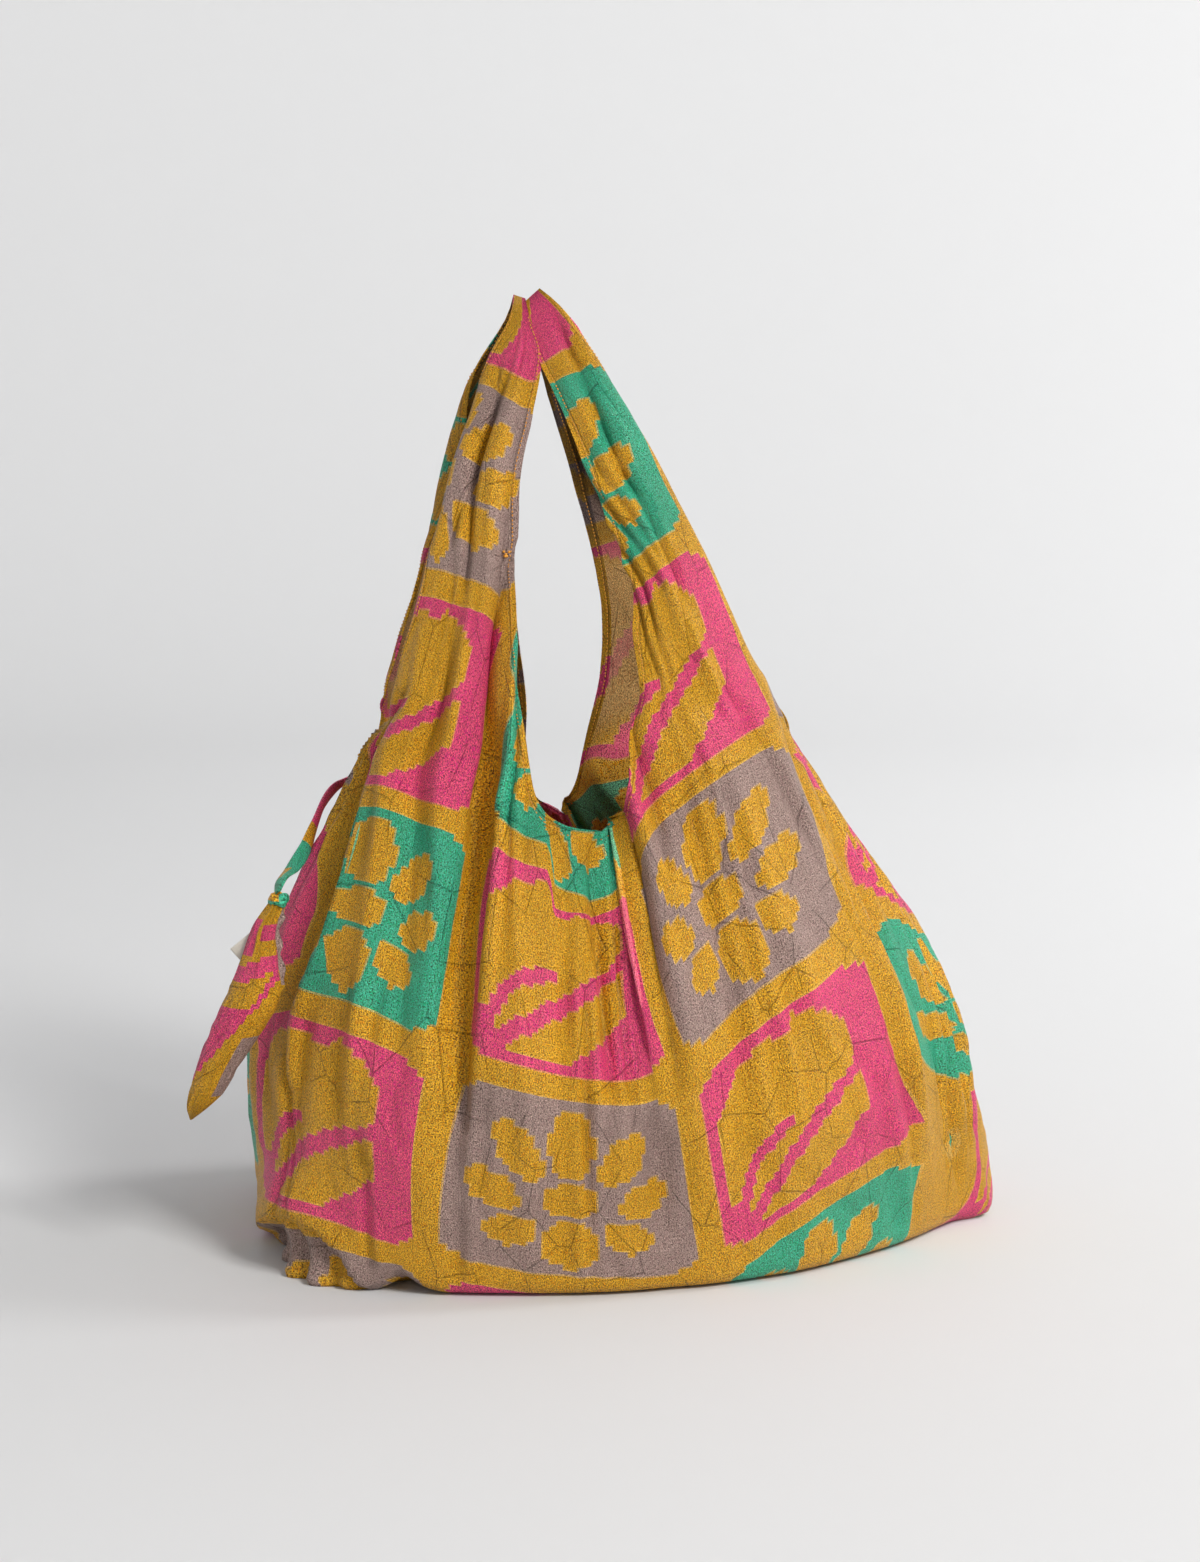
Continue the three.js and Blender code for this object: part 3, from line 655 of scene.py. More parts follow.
def cloth_at(panel, s, v):
    """Where the draped cloth's points lie, with its pleats, folds and crinkles, and which way it faces there."""
    step = 0.5
    across = unit(placed(panel, s + step, v) - placed(panel, s - step, v))
    upward = unit(placed(panel, s, v + step) - placed(panel, s, v - step))
    outward = unit(np.cross(across, upward)) * -panel["side"]
    above_floor = v + panel["line"](s).lift
    fold = np.where(s < 0, panel[-1]["strap"](v).fold, panel[1]["strap"](v).fold)
    on_front = 1 - ease(np.abs(s) - fold, *DIE_OUT.past_fold) * ease(v, THROAT, STRAP_BLEND)
    off_floor = ease(above_floor, *DIE_OUT.off_floor)
    at_top = 1 - ease(v, *DIE_OUT.near_top)
    crinkled = crinkles(s, v) * (DIE_OUT.crinkles_left + (1 - DIE_OUT.crinkles_left) * on_front)
    raised = (gathers(panel, s, v) + folds(panel, s, v)) * on_front + crinkled
    raised = raised + HEM.proud * (1 - ease(from_cut(s, v), HEM.deep, HEM.deep + HEM.soft))
    lap = pleat(panel, s, v)
    raised = (raised * at_top * (1 - lap.calm) - lap.sunk) * off_floor
    place = placed(panel, s, v) + outward * raised[:, None] + across * (lap.slid * off_floor)[:, None] + CENTRE
    if panel is FRONT:
        low = 1 - ease(np.abs(above_floor), ARCH.start, ARCH.deep)
        place[:, 2] += ARCH.high * np.exp(-(((s - ARCH.middle) / ARCH.reach) ** 2)) * low
    place[:, 2] = np.maximum(place[:, 2], CLOTH / 2)
    return place, outward


def write_map(bm, name, across, up):
    """A UV map in metres, from how far across and up the flat cloth each point lies."""
    places = np.stack((across, up), -1) * MM
    uv = bm.loops.layers.uv.new(name)
    bm.verts.index_update()
    for face in bm.faces:
        for loop in face.loops:
            loop[uv].uv = places[loop.vert.index]


def drape(bm, panel, print_at):
    """Writes the maps of the print, the hem and the threads, lays the cloth on the bag, gives its flat area."""
    area = sum(face.calc_area() for face in bm.faces) * MM**2
    s, v, _ = np.array([vert.co for vert in bm.verts]).T
    write_map(bm, "cloth", *print_at(s, v))
    write_map(bm, "hem", from_cut(s, v), v)
    write_map(bm, "threads", s, v)
    move_to(bm.verts, cloth_at(panel, s, v)[0])
    if panel["side"] > 0:
        bmesh.ops.reverse_faces(bm, faces=bm.faces)
    bm.normal_update()
    return area


def thicken(piece, thickness, inside_material=0):
    solid = piece.modifiers.new("cloth", "SOLIDIFY")
    solid.thickness = thickness * MM
    solid.offset = 0
    solid.material_offset = inside_material


# The print: mustard with rounded blocks of three colours, each holding a flower or a leaf. It was drawn on a coarse
# mesh, so all its edges run in small steps.
REPEAT = (170, 135)
MESH = (4.25, 3.75)
BLOCK = Named(half=(77, 60), corner=1.82)
MUSTARD, PINK = (0.57, 0.30, 0.012), (0.66, 0.065, 0.155)
GREEN, TAUPE = (0.032, 0.35, 0.215), (0.31, 0.215, 0.19)
EDGE_LINE = Named(colour=(0.68, 0.42, 0.09), shift=0.55, strength=0.6)
#        x   y  long short turn, one of each pair
PETALS = (
    (0, 30, 23.5, 16, 90),
    (0, -39, 17.5, 16.5, 0),
    (0, -8.5, 19, 12, 0),
    (34, 22, 21, 12, 50),
    (47.5, -6.5, 18.5, 11, 25),
    (35, -32, 15.5, 11, -12),
)
PETAL_ROUND = 1.9

# The leaf's outline and veins, as how far down the block they lie at each share of the way across it
LEAF = Named(
    sides=(0.055, 0.815),
    top=((0.06, 0.25), (0.10, 0.21), (0.22, 0.10), (0.38, 0.06), (0.48, 0.11), (0.56, 0.04))
    + ((0.68, 0.085), (0.81, 0.20)),
    foot=((0.13, 0.85), (0.15, 0.94), (0.464, 0.95), (0.535, 0.89), (0.634, 0.82), (0.727, 0.72), (0.825, 0.65)),
    vein=((0.164, 0.90), (0.24, 0.82), (0.404, 0.67), (0.60, 0.525), (0.80, 0.42)),
    vein_half=((0.164, 0.05), (0.24, 0.06), (0.60, 0.06), (0.80, 0.035)),
    vein_from=0.14,
    side_vein=((0.10, 0.82), (0.15, 0.71), (0.20, 0.625), (0.25, 0.565), (0.30, 0.53), (0.40, 0.49)),
    side_half=((0.10, 0.08), (0.15, 0.07), (0.20, 0.055), (0.30, 0.045), (0.40, 0.034)),
    side_to=0.405,
)

# The silk's grain, as noise over its threads: how fine it is across and up the cloth and how detailed, between
# which levels it shows, and how much lighter, higher and rougher it makes the plain silk. The glints' lightening
# is a painted highlight: bright specks that stand for the silk's sparkle.
GRAIN = {
    "fleck": Named(fine=(1.5, 0.85, 1), shows=(0.5, 0.68), lighter=-0.75, higher=-0.45, rougher=0.16),
    # The glints lighten the colour as painted highlight; their bump and roughness are the silk's own.
    "painted_glint": Named(fine=(1.6, 1.15, 1), shows=(0.5, 0.70), lighter=1.1, higher=0.35, rougher=-0.12),
    "pebble": Named(fine=(1.3, 1.05, 2), shows=None, lighter=1.3, higher=0.6, rougher=0),
    "rib": Named(fine=(1.0, 0.07, 1), shows=None, lighter=0.6, higher=0.2, rougher=0),
    "cloud": Named(fine=(0.016, 0.022, 2), shows=None, lighter=0.24, higher=0, rougher=0),
}
MOTTLE = Named(fine=(0.6, 0.3, 2), shows=(0.5, 0.7))
PLAIN = Named(lighter=1.12, higher=0, rougher=0.38)
# Thin creases from the cells' edges: CREASES.dark darkens them as painted shade in their valleys, and CREASES.deep
# sinks them as a bump.
CREASES = Named(across=0.03, up=0.021, edge=(0.002, 0.02), dark=0.33, deep=0.8)
CREASE_WARP = Named(fine=(0.008, 0.008, 0), most=0.5)
CRUSHED = Named(fine=(0.02, 0.02, 1), shows=(0.38, 0.54))
# The hem's fold line, sunk and darkened with painted shade like a crease.
HEM_EDGE = (0.3, 1.4)
WARMER = {"Hue": 0.482, "Saturation": 1.08, "Value": 0.9}
GLEAM = {"Specular_IOR_Level": 0.65, "Specular_Tint": (1.0, 0.86, 0.62)}

# The wrong side is duller. The print shows through it only faintly, and more where the bag's back hangs free, from
# one height up the cloth to another; the turned hem shows it again. Its colour carries painted light and shade: it
# is lighter low inside the bag, and painted shade makes it darker the higher it lies and in the turned hem.
WRONG_SIDE = Named(colour=(0.52, 0.34, 0.17), print=0.18, free=0.46, free_from=(312, 336), free_to=(405, 430))
WRONG_SIDE_PAINTED_LIGHT = Named(plain=1.6, wall=0.7, wall_from=(300, 330), strap=0.35, strap_from=(405, 440), hem=0.3)
DULL = {"Specular_IOR_Level": 0.4, "Sheen_Weight": 0.06, "Sheen_Roughness": 0.3}


def on_cloth(shade, uv_map):
    """How far across and up the cloth a place lies, as one of its UV maps has it."""
    return [part * 1000 for part in shade.node("UVMap", {"uv_map": uv_map}).parts()[:2]]


def print_block(u, v):
    """The ground colour of the block at a place on the cloth, and 1 where it isn't mustard."""
    across = ((u / MESH[0]).floor() + 0.5) * MESH[0]
    up = ((v / MESH[1]).floor() + 0.5) * MESH[1]
    column = ((across + REPEAT[0] / 2) / REPEAT[0]).floor()
    row = (up / REPEAT[1]).floor()
    x = across - column * REPEAT[0]
    y = up - (row + 0.5) * REPEAT[1]
    half_wide, half_high = BLOCK.half
    block = (abs(x) < half_wide) & (abs(y) < half_high)
    block = block & ((abs(x) / half_wide + abs(y) / half_high) < BLOCK.corner)
    leafy = ((column + row) % 2) > 0.5
    greenish = (((row - column) / 2 + 1) % 2) < 0.5

    flower = 0 * x
    for middle_x, middle_y, long, short, turn in PETALS:
        cos, sin = math.cos(math.radians(turn)), math.sin(math.radians(turn))
        along = (abs(x) - middle_x) * cos + (y - middle_y) * sin
        aside = (y - middle_y) * cos - (abs(x) - middle_x) * sin
        petal = abs(along / long) ** PETAL_ROUND + abs(aside / short) ** PETAL_ROUND
        flower = flower | (petal < 1)

    at = x / (2 * half_wide) + 0.5
    down = 0.5 - y / (2 * half_high)
    leaf = (at > LEAF.sides[0]) & (at < LEAF.sides[1])
    leaf = leaf & (down > at.ramp(*LEAF.top)) & (down < at.ramp(*LEAF.foot))
    vein = (abs(down - at.ramp(*LEAF.vein)) < at.ramp(*LEAF.vein_half)) & (at > LEAF.vein_from)
    side_vein = abs(down - at.ramp(*LEAF.side_vein)) < at.ramp(*LEAF.side_half)
    leaf = leaf & (1 - (vein | (side_vein & (at < LEAF.side_to))))

    ground = leafy.mix(greenish.mix(TAUPE, GREEN), PINK)
    figure = flower + (leaf - flower) * leafy
    return ground, block & (1 - figure)


def silk_print(shade):
    """The printed colour at each place on the cloth, with a fine pale line round each colour."""
    u, v = on_cloth(shade, "cloth")
    ground, inside = print_block(u + EDGE_LINE.shift, v + EDGE_LINE.shift)
    _, beside = print_block(u - EDGE_LINE.shift, v - EDGE_LINE.shift)
    line = abs(inside - beside) * EDGE_LINE.strength
    return line.mix(inside.mix(MUSTARD, ground), EDGE_LINE.colour)


def finish_silk(shade, colour, u, v, hem=None, gloss=GLEAM):
    """Crushed silk: grain about as wide as its threads, glints as painted highlight, thin creases and hem lines
    darkened by painted shade.
    """

    def noise_on_threads(across, up, detail):
        where = shade.node("CombineXYZ", None, {"X": u * across, "Y": v * up})
        return shade.node("TexNoise", {"noise_dimensions": "2D"}, {"Vector": where, "Scale": 1, "Detail": detail})

    grains = {}
    for name, grain in GRAIN.items():
        made = noise_on_threads(*grain.fine)
        grains[name] = made.between(*grain.shows) if grain.shows else made - 0.5

    def grained(effect):
        value = getattr(PLAIN, effect)
        for name, grain in GRAIN.items():
            if getattr(grain, effect):
                value = value + getattr(grain, effect) * grains[name]
        return value

    warp = (noise_on_threads(*CREASE_WARP.fine) - 0.5) * CREASE_WARP.most
    bent = shade.node("CombineXYZ", None, {"X": u * CREASES.across + warp, "Y": v * CREASES.up + warp})
    edges = {"voronoi_dimensions": "2D", "feature": "DISTANCE_TO_EDGE"}
    cells = shade.node("TexVoronoi", edges, {"Vector": bent, "Scale": 1})
    crease = (1 - cells.between(*CREASES.edge)) * noise_on_threads(*CRUSHED.fine).between(*CRUSHED.shows)
    if hem:
        crease = crease | (1 - abs(hem - HEM.deep).between(*HEM_EDGE))

    warm = shade.node("HueSaturation", None, {**WARMER, "Color": colour})
    mottled = grains["fleck"] | noise_on_threads(*MOTTLE.fine).between(*MOTTLE.shows)
    # The colour is lightened by the glints' painted highlight and darkened along creases and hem lines by painted
    # shade.
    lit = mottled.mix(colour, warm).scaled(grained("lighter") * (1 - CREASES.dark * crease))
    height = grained("higher") - CREASES.deep * crease
    bump = shade.node("Bump", None, {"Strength": 1, "Distance": MM, "Height": height})
    finish_material(shade, Base_Color=lit, Roughness=grained("rougher"), Normal=bump, **gloss)


silk, shade = new_material("printed_silk")
hem, _ = on_cloth(shade, "hem")
finish_silk(shade, silk_print(shade), *on_cloth(shade, "threads"), hem)

wrong_side, shade = new_material("silk_wrong_side")
hem, up_cloth = on_cloth(shade, "hem")
unturned = hem.between(*HEM.turned)
free = WRONG_SIDE.free * up_cloth.between(*WRONG_SIDE.free_from) * (1 - up_cloth.between(*WRONG_SIDE.free_to))
faded = (WRONG_SIDE.print + free) * unturned
faint = faded.mix(silk_print(shade), WRONG_SIDE.colour)
# Painted light and shade on the wrong side: lighter low in the bag, darker up the walls and inside the straps,
# darker again in the turned hem.
light = WRONG_SIDE_PAINTED_LIGHT.plain - WRONG_SIDE_PAINTED_LIGHT.wall * up_cloth.between(*WRONG_SIDE_PAINTED_LIGHT.wall_from)
light = light - WRONG_SIDE_PAINTED_LIGHT.strap * up_cloth.between(*WRONG_SIDE_PAINTED_LIGHT.strap_from)
light = light - WRONG_SIDE_PAINTED_LIGHT.hem * (1 - unturned)
finish_silk(shade, faint.scaled(light), *on_cloth(shade, "threads"), hem, DULL)

# Where the print lies on the real cloth, against s and v: it wanders as the cloth stretches and gathers
PRINT_MIDDLE = 44
#    s    v  across up reach
FRONT_SLIPS = (
    (-290, 248, 51, 16, 75),
    (-239, 190, -8, -14, 75),
    (-268, 161, 24, -19, 30),
    (-223, 152, -21, -9, 25),
    (-292, 130, 1, -2, 75),
    (-284, 21, -7, -13, 75),
    (-305, 30, 14, 0, 50),
    (-316, -29, 27, -5, 26),
    (-220, 271, -12, -9, 75),
    (-205, 213, -9, -19, 75),
    (-136, 137, -1, -9, 75),
    (-146, 10, 9, -2, 75),
    (-126, 260, -4, -8, 75),
    (-110, 143, -10, 0, 75),
    (-112, 296, -10, -13, 30),
    (-107, 334, -14, 6, 25),
    (-92, 344, -26, 8, 18),
    (-88, 324, -4, 6, 20),
    (-78, 310, -1, -5, 25),
    (-58, 281, -8, -4, 20),
    (-47, 256, -9, -2, 30),
    (-23, 280, 2, 2, 24),
    (0, 250, -20, 4, 75),
    (23, 238, 0, 8, 75),
    (37, 122, -5, 13, 75),
    (42, 2, -9, 5, 75),
    (50, 272, 0, -2, 75),
    (62, 134, -13, 2, 75),
    (65, -3, -16, 11, 75),
    (105, 230, 21, -18, 75),
    (110, 179, 16, -16, 75),
    (195, 292, -1, -22, 75),
    (201, 150, 3, -14, 75),
    (222, 176, -3, -34, 75),
    (257, 156, -39, -29, 60),
    (229, 245, -20, -20, 45),
    (262, 236, -43, -18, 45),
    (283, 232, -55, -18, 40),
    (247, 1, -47, 5, 60),
    (288, 16, -69, -8, 60),
    (326, 10, -102, -18, 75),
    (325, -73, -105, -22, 75),
    (268, -27, -66, 8, 50),
    (297, -33, -87, 6, 50),
    (-115, 392, -22, 6, 50),
    (-124, 411, -26, 2, 45),
    (-236, 411, 3, -6, 50),
    (-214, 442, 19, -6, 35),
    (-178, 447, -1, -7, 45),
    (-202, 474, 9, -8, 35),
    (-213, 511, 17, -8, 30),
    (-161, 466, -5, 0, 45),
    (-181, 497, 1, -3, 45),
    (-222, 532, 6, 1, 50),
    (-180, 526, 1, 7, 45),
    (-158, 520, 6, 13, 45),
    (205, 410, -11, -13, 75),
    (149, 451, 12, -8, 45),
    (169, 478, 4, -8, 45),
    (156, 504, 4, -6, 45),
    (203, 447, -2, -7, 45),
    (235, 540, -34, -2, 75),
)
SLIP_EASE = 0.12

# Right of the throat's fold the print jumps, because the cloth there is a flap that lies over the rest
FLAP = Named(fold=(-55, -49), fades=(0, 80), height=(222, 247), across=12, up=24)


def print_slips(rows):
    """How far the print has slipped across and up at any place: a smooth surface close to all the rows."""
    s0, v0, across, up, reach = np.array(rows, float).T

    def nearness(s, v):
        return np.exp(-((np.hypot(s[:, None] - s0, v[:, None] - v0) / reach) ** 2))

    square = nearness(s0, v0)
    target = np.stack((across, up), -1)
    weights = np.linalg.solve(square.T @ square + SLIP_EASE * np.eye(len(rows)), square.T @ target)
    return lambda s, v: (nearness(s, v) @ weights).T


front_slips = print_slips(FRONT_SLIPS)


def front_print(s, v):
    across, up = front_slips(s, v)
    flap = ease(s, *FLAP.fold) * (1 - ease(s, *FLAP.fades)) * ease(v, *FLAP.height)
    across = s + PRINT_MIDDLE + across + FLAP.across * flap - pleat(FRONT, s, v).hidden
    return across, v + up + FLAP.up * flap


def hang_panel(name, solid, panel, print_at):
    """Cuts a panel, drapes it and puts it in the place of its solid."""
    bm = cut_panel(panel)
    area = drape(bm, panel, print_at)
    cloth = new_piece(name, bm, silk, wrong_side)
    thicken(cloth, CLOTH, inside_material=1)
    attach(cloth, "root")
    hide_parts(solid)


hang_panel("front_cloth", "front_panel", FRONT, front_print)

# Stitching
# Orange-mustard thread, run by machine five millimetres inside the neck and armhole edges; each stitch goes through
# the cloth, so it shows on both sides. A short loose end of it is bunched up on the left strap.
STITCH = Named(pitch=2.6, length=2.0, wide=1.1, thick=1.25, end=6, places=400)
THREAD_END = Named(s=-136, v=432, size=1.7, loops=7, loop_size=0.6, spread=1.6, apart=1.7, seed=5)
STRAND = Named(dark=(0.66, 0.25, 0.02), pale=(0.82, 0.38, 0.04), turns=900, relief=0.1, roughness=0.5)
thread_shine, shade = new_material("mustard_thread")
twist = shade.node("TexCoord", output=3)
strand = shade.node("TexWave", {"bands_direction": "DIAGONAL"}, {"Vector": twist, "Scale": STRAND.turns})
bump = shade.node("Bump", None, {"Strength": 0.4, "Distance": STRAND.relief * MM, "Height": strand})
colour = strand.mix(STRAND.dark, STRAND.pale)
finish_material(shade, Base_Color=colour, Roughness=STRAND.roughness, Normal=bump)


def cut_lines():
    """The neck edge and both armhole edges on the flat cloth, each with the side that its cloth lies on."""
    v = np.linspace(THROAT, STRAP_TOP - STITCH.end, STITCH.places)
    cut = cut_at(v)
    neck = np.concatenate((np.stack((-cut.neck, v), -1)[::-1], np.stack((cut.neck, v), -1)[1:]))
    return ((neck, 1), (np.stack((cut.arm, v), -1), -1), (np.stack((-cut.arm, v), -1), 1))


def sew(name, panel):
    """A row of stitches along each cut edge of a panel, as one piece."""
    bm = bmesh.new()
    size = Matrix.Diagonal((STITCH.length / 2, STITCH.wide / 2, STITCH.thick, 1))
    for line, side in cut_lines():
        ahead = unit(np.gradient(line, axis=0))
        inset = line + side * HEM.stitch_in * np.stack((ahead[:, 1], -ahead[:, 0]), -1)
        place, outward = cloth_at(panel, *inset.T)
        far = np.concatenate(([0], np.cumsum(np.linalg.norm(np.diff(place, axis=0), axis=-1))))
        for middle in np.arange(STITCH.pitch, far[-1] - STITCH.pitch, STITCH.pitch):
            i = min(max(np.searchsorted(far, middle), 1), len(far) - 2)
            run = Vector(place[i + 1] - place[i - 1]).normalized()
            across = run.cross(Vector(outward[i])).normalized()
            turn = Matrix((run, across, across.cross(run))).transposed().to_4x4()
            stitch = Matrix.Translation(place[i]) @ turn @ size
            bmesh.ops.create_icosphere(bm, subdivisions=1, radius=1, matrix=stitch)
    if panel is FRONT:
        place, outward = cloth_at(panel, np.array([THREAD_END.s]), np.array([THREAD_END.v]))
        middle = Vector(place[0] + outward[0] * THREAD_END.size)
        radius = THREAD_END.size * THREAD_END.loop_size
        noise.seed_set(THREAD_END.seed)
        for loop in range(THREAD_END.loops):
            aside = noise.noise_vector(Vector((loop * THREAD_END.apart, 0, 0)))
            at = Matrix.Translation(middle + aside * THREAD_END.size * THREAD_END.spread)
            bmesh.ops.create_icosphere(bm, subdivisions=1, radius=radius, matrix=at)
    made = new_piece(name, bm, thread_shine)
    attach(made, "root")


sew("front_stitching", FRONT)

# Back panel
# The same cut at the back, sewn to the front at the sides, along the base and across the tops of the straps. Its
# print lies elsewhere on the cloth.
back_line = curves(LINE, [
    (-385, 48, -221, 28, 0.5, -221, 30, -150, 22, 296),
    (-300, 36, -212, 98, 0.5, -209, 92, -148, 50, 316),
    (-250, 30, -192, 124, 0.5, -186, 118, -142, 66, 316),
    (-200, 26, -162, 144, 0.48, -156, 128, -116, 64, 314),
    (-150, 20, -122, 152, 0.46, -116, 150, -92, 80, 302),
    (-95, 14, -72, 166, 0.45, -74, 156, -66, 78, 284),
    (-41, 10, -20, 168, 0.45, -26, 166, -44, 88, 270),
    (0, 10, 20, 169, 0.45, 16, 160, -24, 80, 264),
    (41, 10, 60, 166, 0.45, 54, 164, -22, 86, 268),
    (66, 14, 82, 165, 0.45, 74, 158, -10, 84, 272),
    (95, 20, 112, 162, 0.45, 102, 148, 6, 78, 286),
    (150, 36, 160, 148, 0.44, 150, 142, 66, 80, 314),
    (211, 60, 205, 132, 0.43, 194, 118, 110, 60, 334),
    (300, 85, 250, 90, 0.45, 228, 84, 124, 46, 326),
    (385, 100, 262, 40, 0.46, 233, 42, 130, 25, 304),
])
back_left_strap = curves(STATION, [
    (288, -25, 82, 272, -146, 64, 306, 229, 2, 40),
    (310, -38, 80, 308, -143, 68, 332, 232, 8, 70),
    (340, -50, 74, 350, -139, 70, 356, 236, 8, 100),
    (372, -56, 62, 390, -129, 63, 392, 236, 7, 130),
    (405, -60, 50, 424, -118, 54, 428, 232, 6, 150),
    (475, -60, 30, 496, -100, 34, 500, 202, 5, 165),
    (520, -52, 19, 545, -86, 21, 549, 212, 4, 165),
    (553, -44, 11, 579, -71, 12, 580, 226, 2, 140),
    (570, -47, 5, 599, -60, 5, 603, 234, 1, 50),
    (580, -49.4, 0.15, 614.5, -56, 0.15, 617, 237, 0, 0),
])
back_right_strap = curves(STATION, [
    (288, -20, 82, 268, 112, 62, 334, 215, 2, 40),
    (310, -3, 80, 306, 104, 68, 354, 224, 8, 90),
    (340, -1, 73, 345, 92, 68, 376, 226, 8, 140),
    (372, 2, 64, 392, 78, 64, 410, 220, 6, 165),
    (405, -1, 54, 428, 58, 56, 446, 210, 5, 172),
    (475, -18, 35, 498, 20, 39, 510, 192, 4, 174),
    (520, -32, 22, 545, 0, 25, 557, 200, 4, 172),
    (553, -40, 12, 576, -16, 14, 590, 222, 2, 140),
    (570, -45, 5, 596, -28, 5, 611, 234, 1, 50),
    (580, -46.6, 0.15, 613, -39, 0.15, 621, 237, 0, 0),
])
BACK = {
    "side": 1,
    "seed": 13.2,
    "gather": 1.0,
    "line": back_line,
    -1: {"strap": back_left_strap, "crease": 95, "fold": 229, "least": 0.15},
    1: {"strap": back_right_strap, "crease": 95, "fold": 215, "least": 0.15},
}

#   from s, v    to s, v     bow width height
BACK["folds"] = (
    (-250, 330, -262, 20, 6, 12, -4),
    (-215, 330, -222, 40, 0, 12, 3.5),
    (-170, 320, -160, 60, -6, 9, -4),
    (-130, 300, -120, 20, 5, 10, 3),
    (-88, 290, -70, 110, 0, 8, -4),
    (-40, 280, -30, 20, 4, 10, 3),
    (0, 270, 10, 90, 0, 8, -3.5),
    (44, 290, 40, 30, -5, 11, 3),
    (90, 310, 104, 60, 5, 9, -5),
    (140, 330, 150, 40, 0, 12, 3.5),
    (190, 340, 215, 20, -6, 9, -4),
    (235, 340, 260, 0, 0, 12, 3),
    (290, 320, 330, -40, 0, 10, -3),
    (-60, 120, -20, 10, 6, 4, -2.2),
    (60, 150, 120, 40, -6, 4, -2.2),
    (150, 220, 230, 120, 0, 4, -2.2),
    (-210, 180, -150, 90, 0, 4, -2.2),
    (-200, 400, -205, 550, 8, 7, -3),
    (180, 400, 190, 550, 8, 7, -3),
)
BACK_PRINT = Named(across=-107, up=105)
#    s    v  across up reach
BACK_SLIPS = (
    (79, 311, 0, -2, 30),
    (94, 296, 0, -2, 25),
    (105, 287, 0, 5, 20),
    (110, 297, 0, 12, 20),
)
back_slips = print_slips(BACK_SLIPS)


def back_print(s, v):
    across, up = back_slips(s, v)
    return s + BACK_PRINT.across + across, v + BACK_PRINT.up + up


hang_panel("back_cloth", "back_panel", BACK, back_print)
sew("back_stitching", BACK)

# Pouch
# The bag's own carry pouch of the same silk, stuffed with what is folded up inside. It hangs from its pinched top
# corner at the bag's left side, with a ruffled seam at its right edge and the print running slantwise over it.
POUCH = Named(low=98, high=238, round=100, rows=150, sides=128, pinch=1.25)
RUFFLE = Named(proud=2.6, half_turn=0.11, start=0.62, to=0.96, waves=9, depth=0.45)
RUFFLE_ENDS = Named(low=0.04, high=0.05)
WRINKLE = Named(high=2.2, round=2.2, tall=13, slant=0.9, level=0.2, start=0.08)
TOP_PLEATS = Named(high=0.5, count=9, grow=(0.8, 0.95))
pouch_at = curves("z x y wide deep", [
    (98, -259.5, -112, 0.8, 0.8),
    (105, -255.8, -112, 6, 5),
    (116, -249.2, -111, 11, 8),
    (131, -242.6, -110, 13, 10.5),
    (150, -233, -109, 16, 13),
    (169, -222.6, -109, 17.6, 14),
    (184, -217.3, -108, 16.2, 13.5),
    (201, -214.8, -106, 11.6, 10.5),
    (221, -211.5, -103, 7.6, 7),
    (232, -206, -100, 5.4, 5),
    (238, -204.4, -98, 3, 3),
])

# Its print on coarse rows and columns, with painted shade in taupe on its lower right side: each patch lies between
# two heights, which may climb to the right, and between two places across
POUCH_MESH = Named(column=0.16, row=3.2)
#    colour, low, its climb, high, its climb, left, right
PATCHES = (
    (PINK, 0.44, 0.24, 0.495, 0.24, -1.1, 1.1),
    (PINK, 0.44, 0.24, 0.53, 0, -1.1, 1.1),
    (PINK, 0.662, 0.03, 0.738, 0.03, -1.1, 1.1),
    (PINK, 0.834, 0, 0.886, 0, -0.2, 1.1),
    (PINK, 0.76, 0, 0.92, 0, -1.1, -0.55),
    # The taupe patch fills the lower right side face, which lies in shade: painted shade, in the print's taupe.
    (TAUPE, 0.12, 0, 0.40, 0, 0.45, 1.1),
)
SEAM_SIDE = 0.975

pouch_bm = bmesh.new()
_, around, up = add_grid(pouch_bm, POUCH.sides, POUCH.rows)
pouch_tall = POUCH.high - POUCH.low
height = POUCH.low + pouch_tall * (1 - np.cos(math.pi * up)) / 2
pouch_row = pouch_at(height)
turn = 2 * math.pi * around
write_map(pouch_bm, "cloth", POUCH.round * around, height - POUCH.low)


def pinched(value):
    return np.sign(value) * np.abs(value) ** POUCH.pinch


seam_angle = np.minimum(turn, 2 * math.pi - turn)
share_up = (height - POUCH.low) / pouch_tall
on_seam = ease(share_up, RUFFLE.start - RUFFLE_ENDS.low, RUFFLE.start)
on_seam = on_seam * (1 - ease(share_up, RUFFLE.to - RUFFLE_ENDS.high, RUFFLE.to))
ruffle = RUFFLE.proud * np.exp(-((seam_angle / RUFFLE.half_turn) ** 2)) * on_seam
ruffle = ruffle * (1 + RUFFLE.depth * np.sin(2 * math.pi * RUFFLE.waves * share_up))
ring_noise = []
for angle, high in zip(turn, height):
    ring = WRINKLE.round * math.cos(angle), WRINKLE.round * math.sin(angle)
    ring_noise.append(noise.noise(Vector((*ring, high / WRINKLE.tall - WRINKLE.slant * math.cos(angle)))))
wrinkled = (WRINKLE.level - np.abs(np.array(ring_noise))) * WRINKLE.high * ease(share_up, 0, WRINKLE.start)
top_pleats = TOP_PLEATS.high * np.sin(TOP_PLEATS.count * turn) * ease(share_up, *TOP_PLEATS.grow)
wrinkled = wrinkled + top_pleats
